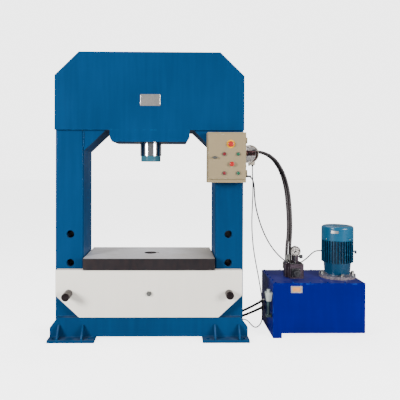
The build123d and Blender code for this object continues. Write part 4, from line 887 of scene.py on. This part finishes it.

# Bare label bent round the cowl; its pale plate sits where the cowl shows a highlight, so it is partly a real
# label and partly a painted highlight
label = {"radius": 126.2, "turn": 242, "spread": 13, "rise": 62, "height": 22, "thick": 0.5, "steps": 10}
shape = bmesh.new()
pairs = []
for step in range(label["steps"] + 1):
    turn = label["turn"] + label["spread"] * (2 * step / label["steps"] - 1)
    pairs.append([onCowl(label["radius"], rise, turn)
                  for rise in (label["rise"] + label["height"], label["rise"])])
addStrip(shape, pairs)
thickened(shape, label["thick"])
# painted highlight: the pale label plate stands where the light glints on the cowl
addShape("cowlLabelHighlight", shape, "plate metal")
addShape("terminalLid", lid, "motor paint")
print("screws in")


# Weld beads: small rippled fillets where the plates meet
bead = {"radius": 5, "sides": 8, "swell": 0.175, "pitch": 7, "ends": 18, "stand": 1, "braceRise": 30,
        "channelRun": (420, 750)}
columnLow, columnHigh = limits("right_column")
channelHigh = limits("base_channels")[1]
braceLow, braceHigh = limits("corner_braces")
columnRun = (columnLow.x + bead["ends"], columnHigh.x - bead["ends"])
deep = columnHigh.y - bead["ends"]
foot, underCrown = columnLow.z + bead["stand"], limits("crown_front_plate")[0].z - bead["stand"]


def runAcross(side, reach, y, z):
    return (side * reach[0], y, z), (side * reach[1], y, z)


runs = []
for side in (-1, 1):
    for face in (-1, 1):
        runs += [runAcross(side, columnRun, face * columnHigh.y, z)
                 for z in (foot, underCrown, channelHigh.z + bead["stand"])]
        runs.append(runAcross(side, bead["channelRun"], face * channelHigh.y, foot))
    for x in (columnLow.x, columnHigh.x):
        runs.append(((side * x, -deep, foot), (side * x, deep, foot)))
    runs.append(((side * braceHigh.x, braceLow.y, braceLow.z + bead["braceRise"]),
                 (side * braceHigh.x, braceLow.y, underCrown - bead["stand"])))


def addBead(shape, start, end):
    run, origin = Vector(end) - Vector(start), place(*start)
    axis = run.normalized()
    made = addRod(shape, start, axis, bead["radius"], run.length, bead["sides"])
    lines = list({edge for vertex in made for edge in vertex.link_edges
                  if abs((edge.verts[0].co - edge.verts[1].co).length - run.length * mm) < 1e-5})
    cut = bmesh.ops.subdivide_edges(shape, edges=lines, cuts=int(run.length / bead["pitch"]),
                                    use_grid_fill=True)
    for vertex in {part for part in cut["geom_inner"] if isinstance(part, bmesh.types.BMVert)}:
        along = (vertex.co - origin).dot(axis)
        onAxis = origin + axis * along
        swell = 1 + bead["swell"] * sin(pi * along / (bead["pitch"] * mm))
        vertex.co = onAxis + (vertex.co - onAxis) * swell


shape = bmesh.new()
for start, end in runs:
    addBead(shape, start, end)
addShape("weldBeads", shape, "press paint", smooth=1.2)
print("welds run")


# Inside the control box: a row of terminals on its rail, counted from the contactor panel
terminals = {"left": 20, "bottom": 150, "height": 36, "front": 38.5, "back": 6.5, "count": 22,
             "pitch": 9.5, "thick": 8.6, "round": 0.5}
nose = {"inset": 1.6, "out": 4, "sink": 1, "margin": 11}
rail = {"inset": 8, "margin": 9, "front": 7.5, "back": 2.5, "round": 0.6}
low, high = limits("contactor_panel")
bottom, front = low.z + terminals["bottom"], high.y - terminals["front"]
top = bottom + terminals["height"]
shape = bmesh.new()
for number in range(terminals["count"]):
    left = low.x + terminals["left"] + number * terminals["pitch"]
    rightEnd = left + terminals["thick"]
    addBlock(shape, (left, front, bottom), (rightEnd, high.y - terminals["back"], top))
    addBlock(shape, (left + nose["inset"], front - nose["out"], bottom + nose["margin"]),
             (rightEnd - nose["inset"], front + nose["sink"], top - nose["margin"]))
soften(shape, terminals["round"], 1)
addShape("terminalRow", shape, "gauge plastic")
shape = bmesh.new()
addBlock(shape, (low.x + rail["inset"], high.y - rail["front"], bottom + rail["margin"]),
         (high.x - rail["inset"], high.y - rail["back"], top - rail["margin"]))
soften(shape, rail["round"], 1)
addShape("terminalRail", shape, "plated steel")

# Rubber seal inside the door
seal = {"inset": 3.2, "across": 273.6, "width": 5, "front": 2.1, "back": 0.3, "round": 0.8}
low, high = limits("control_door")
front, back, width = low.y + seal["front"], high.y - seal["back"], seal["width"]
left, bottom, top = low.x + seal["inset"], low.z + seal["inset"], high.z - seal["inset"]
rightEnd = left + seal["across"]
shape = bmesh.new()
addBlock(shape, (left, front, bottom), (rightEnd, back, bottom + width))
addBlock(shape, (left, front, top - width), (rightEnd, back, top))
addBlock(shape, (left, front, bottom + width), (left + width, back, top - width))
addBlock(shape, (rightEnd - width, front, bottom + width), (rightEnd, back, top - width))
bmesh.ops.remove_doubles(shape, verts=shape.verts, dist=1e-6)
soften(shape, seal["round"], 2)
addShape("doorSeal", shape, "cable sheath", body="door")
print("control box fitted out")


# On the cords: a tapered relief at the box, and ties that bundle the two main hoses
onCords = {name: [] for name in cords}
reliefProfile = [(0, 0), (8.5, 0), (9, 1.5), (9, 9), (8, 11), (7.6, 20), (6.6, 34), (5.8, 36), (5.2, 36),
                 (5.2, 35.9), (0, 35.9)]
shape = turned(cords["motorCable"]["points"][0], (1, 0, 0), reliefProfile)
onCords["motorCable"].append(addShape("boxRelief", shape, "dark plastic", smooth=0.9))

ties = {"on": "innerMainHose", "with": "outerMainHose", "shares": (0.17, 0.26, 0.34), "fit": 12.4,
            "thick": 1.6, "width": 8, "turns": 40}


def tieShape(centre, way, reach):  # a flat band round two hoses, with reach from one to the other
    shape = bmesh.new()
    out, cross = reach.normalized(), way.cross(reach.normalized())
    loops = []
    for shift, growth in ((-0.5, 0), (0.5, 0), (0.5, 1), (-0.5, 1)):  # shares of width and thickness
        radius = (ties["fit"] + ties["thick"] * growth) * mm
        loop = []
        for step in range(ties["turns"]):
            turn = 2 * pi * step / ties["turns"]
            half = copysign(reach.length / 2, cos(turn))
            spot = centre + out * (half + cos(turn) * radius) + cross * sin(turn) * radius
            loop.append(shape.verts.new(spot + way * shift * ties["width"] * mm))
        loops.append(loop)
    for first, second in zip(loops, loops[1:] + loops[:1]):
        rows = [shape.edges.get(pair) or shape.edges.new(pair) for loop in (first, second)
                for pair in zip(loop, loop[1:] + loop[:1])]
        bmesh.ops.bridge_loops(shape, edges=rows)
    return shape


for number, share in enumerate(ties["shares"]):
    line = routes[ties["on"]]
    at = int(share * len(line))
    spot, way = line[at], (line[at + 1] - line[at]).normalized()
    other = min(routes[ties["with"]], key=lambda point: (point - spot).length)
    reach = other - spot
    reach -= way * reach.dot(way)
    name = f"hoseTie{number}"
    tie = addShape(name, tieShape((spot + other) / 2, way, reach), "cable sheath", smooth=1.0)
    onCords[ties["on"]].append(tie)
print("reliefs and ties on")


# Plain pale floor and soft studio light
studio = {"floor": 40.0, "glow": 3.3, "air": 0.32, "backdrop": 3.9}
lamps = [  # place, aim, width, power
    ((-4.2, -3.8, 2.2), (-0.2, 0, 0.9), 1.8, 430), ((3.6, -3.8, 2.0), (0.2, 0, 0.8), 2.4, 330),
    ((0.2, 1.6, 4.4), (0, 0, 0.6), 3.0, 110)]
ground = bmesh.new()
bmesh.ops.create_grid(ground, x_segments=8, y_segments=8, size=studio["floor"])
groundMesh = bpy.data.meshes.new("floor")
ground.to_mesh(groundMesh)
ground.free()
floor = linked("floor", groundMesh)
tree, shader, vector = newMaterial("studio floor")
tone = spread(tree, noise(tree, vector, 3.0, 4.0), 0.3, 0.7)
seen = addNode(tree, "LightPath").outputs["Is Camera Ray"]
pale = mixColor(tree, tone, (0.86, 0.86, 0.86, 1), (0.9, 0.9, 0.9, 1))
feed(tree, shader, {"Base Color": mixColor(tree, seen, (0.32, 0.32, 0.33, 1), pale),
                    "Emission Strength": spread(tree, seen, 0.0, 1.0, 0.0, studio["glow"]),
                    "Roughness": 0.75, "Emission Color": (1, 1, 1, 1)})
groundMesh.materials.append(finishes["studio floor"])

for number, (spot, aim, width, power) in enumerate(lamps):
    lamp = bpy.data.lights.new(f"lamp{number}", "AREA")
    lamp.shape = "DISK"
    lamp.size = width
    lamp.energy = power
    holder = linked(f"lamp{number}", lamp)
    holder.location = spot
    holder.rotation_euler = (Vector(aim) - Vector(spot)).to_track_quat("-Z", "Y").to_euler()

air = bpy.data.worlds.new("studio air")
air.use_nodes = True
tree = air.node_tree
seen = addNode(tree, "LightPath").outputs["Is Camera Ray"]
strength = spread(tree, seen, 0.0, 1.0, studio["air"], studio["backdrop"])
feed(tree, tree.nodes["Background"], {"Color": (1, 1, 1, 1), "Strength": strength})
bpy.context.scene.world = air
print("floor and light set")
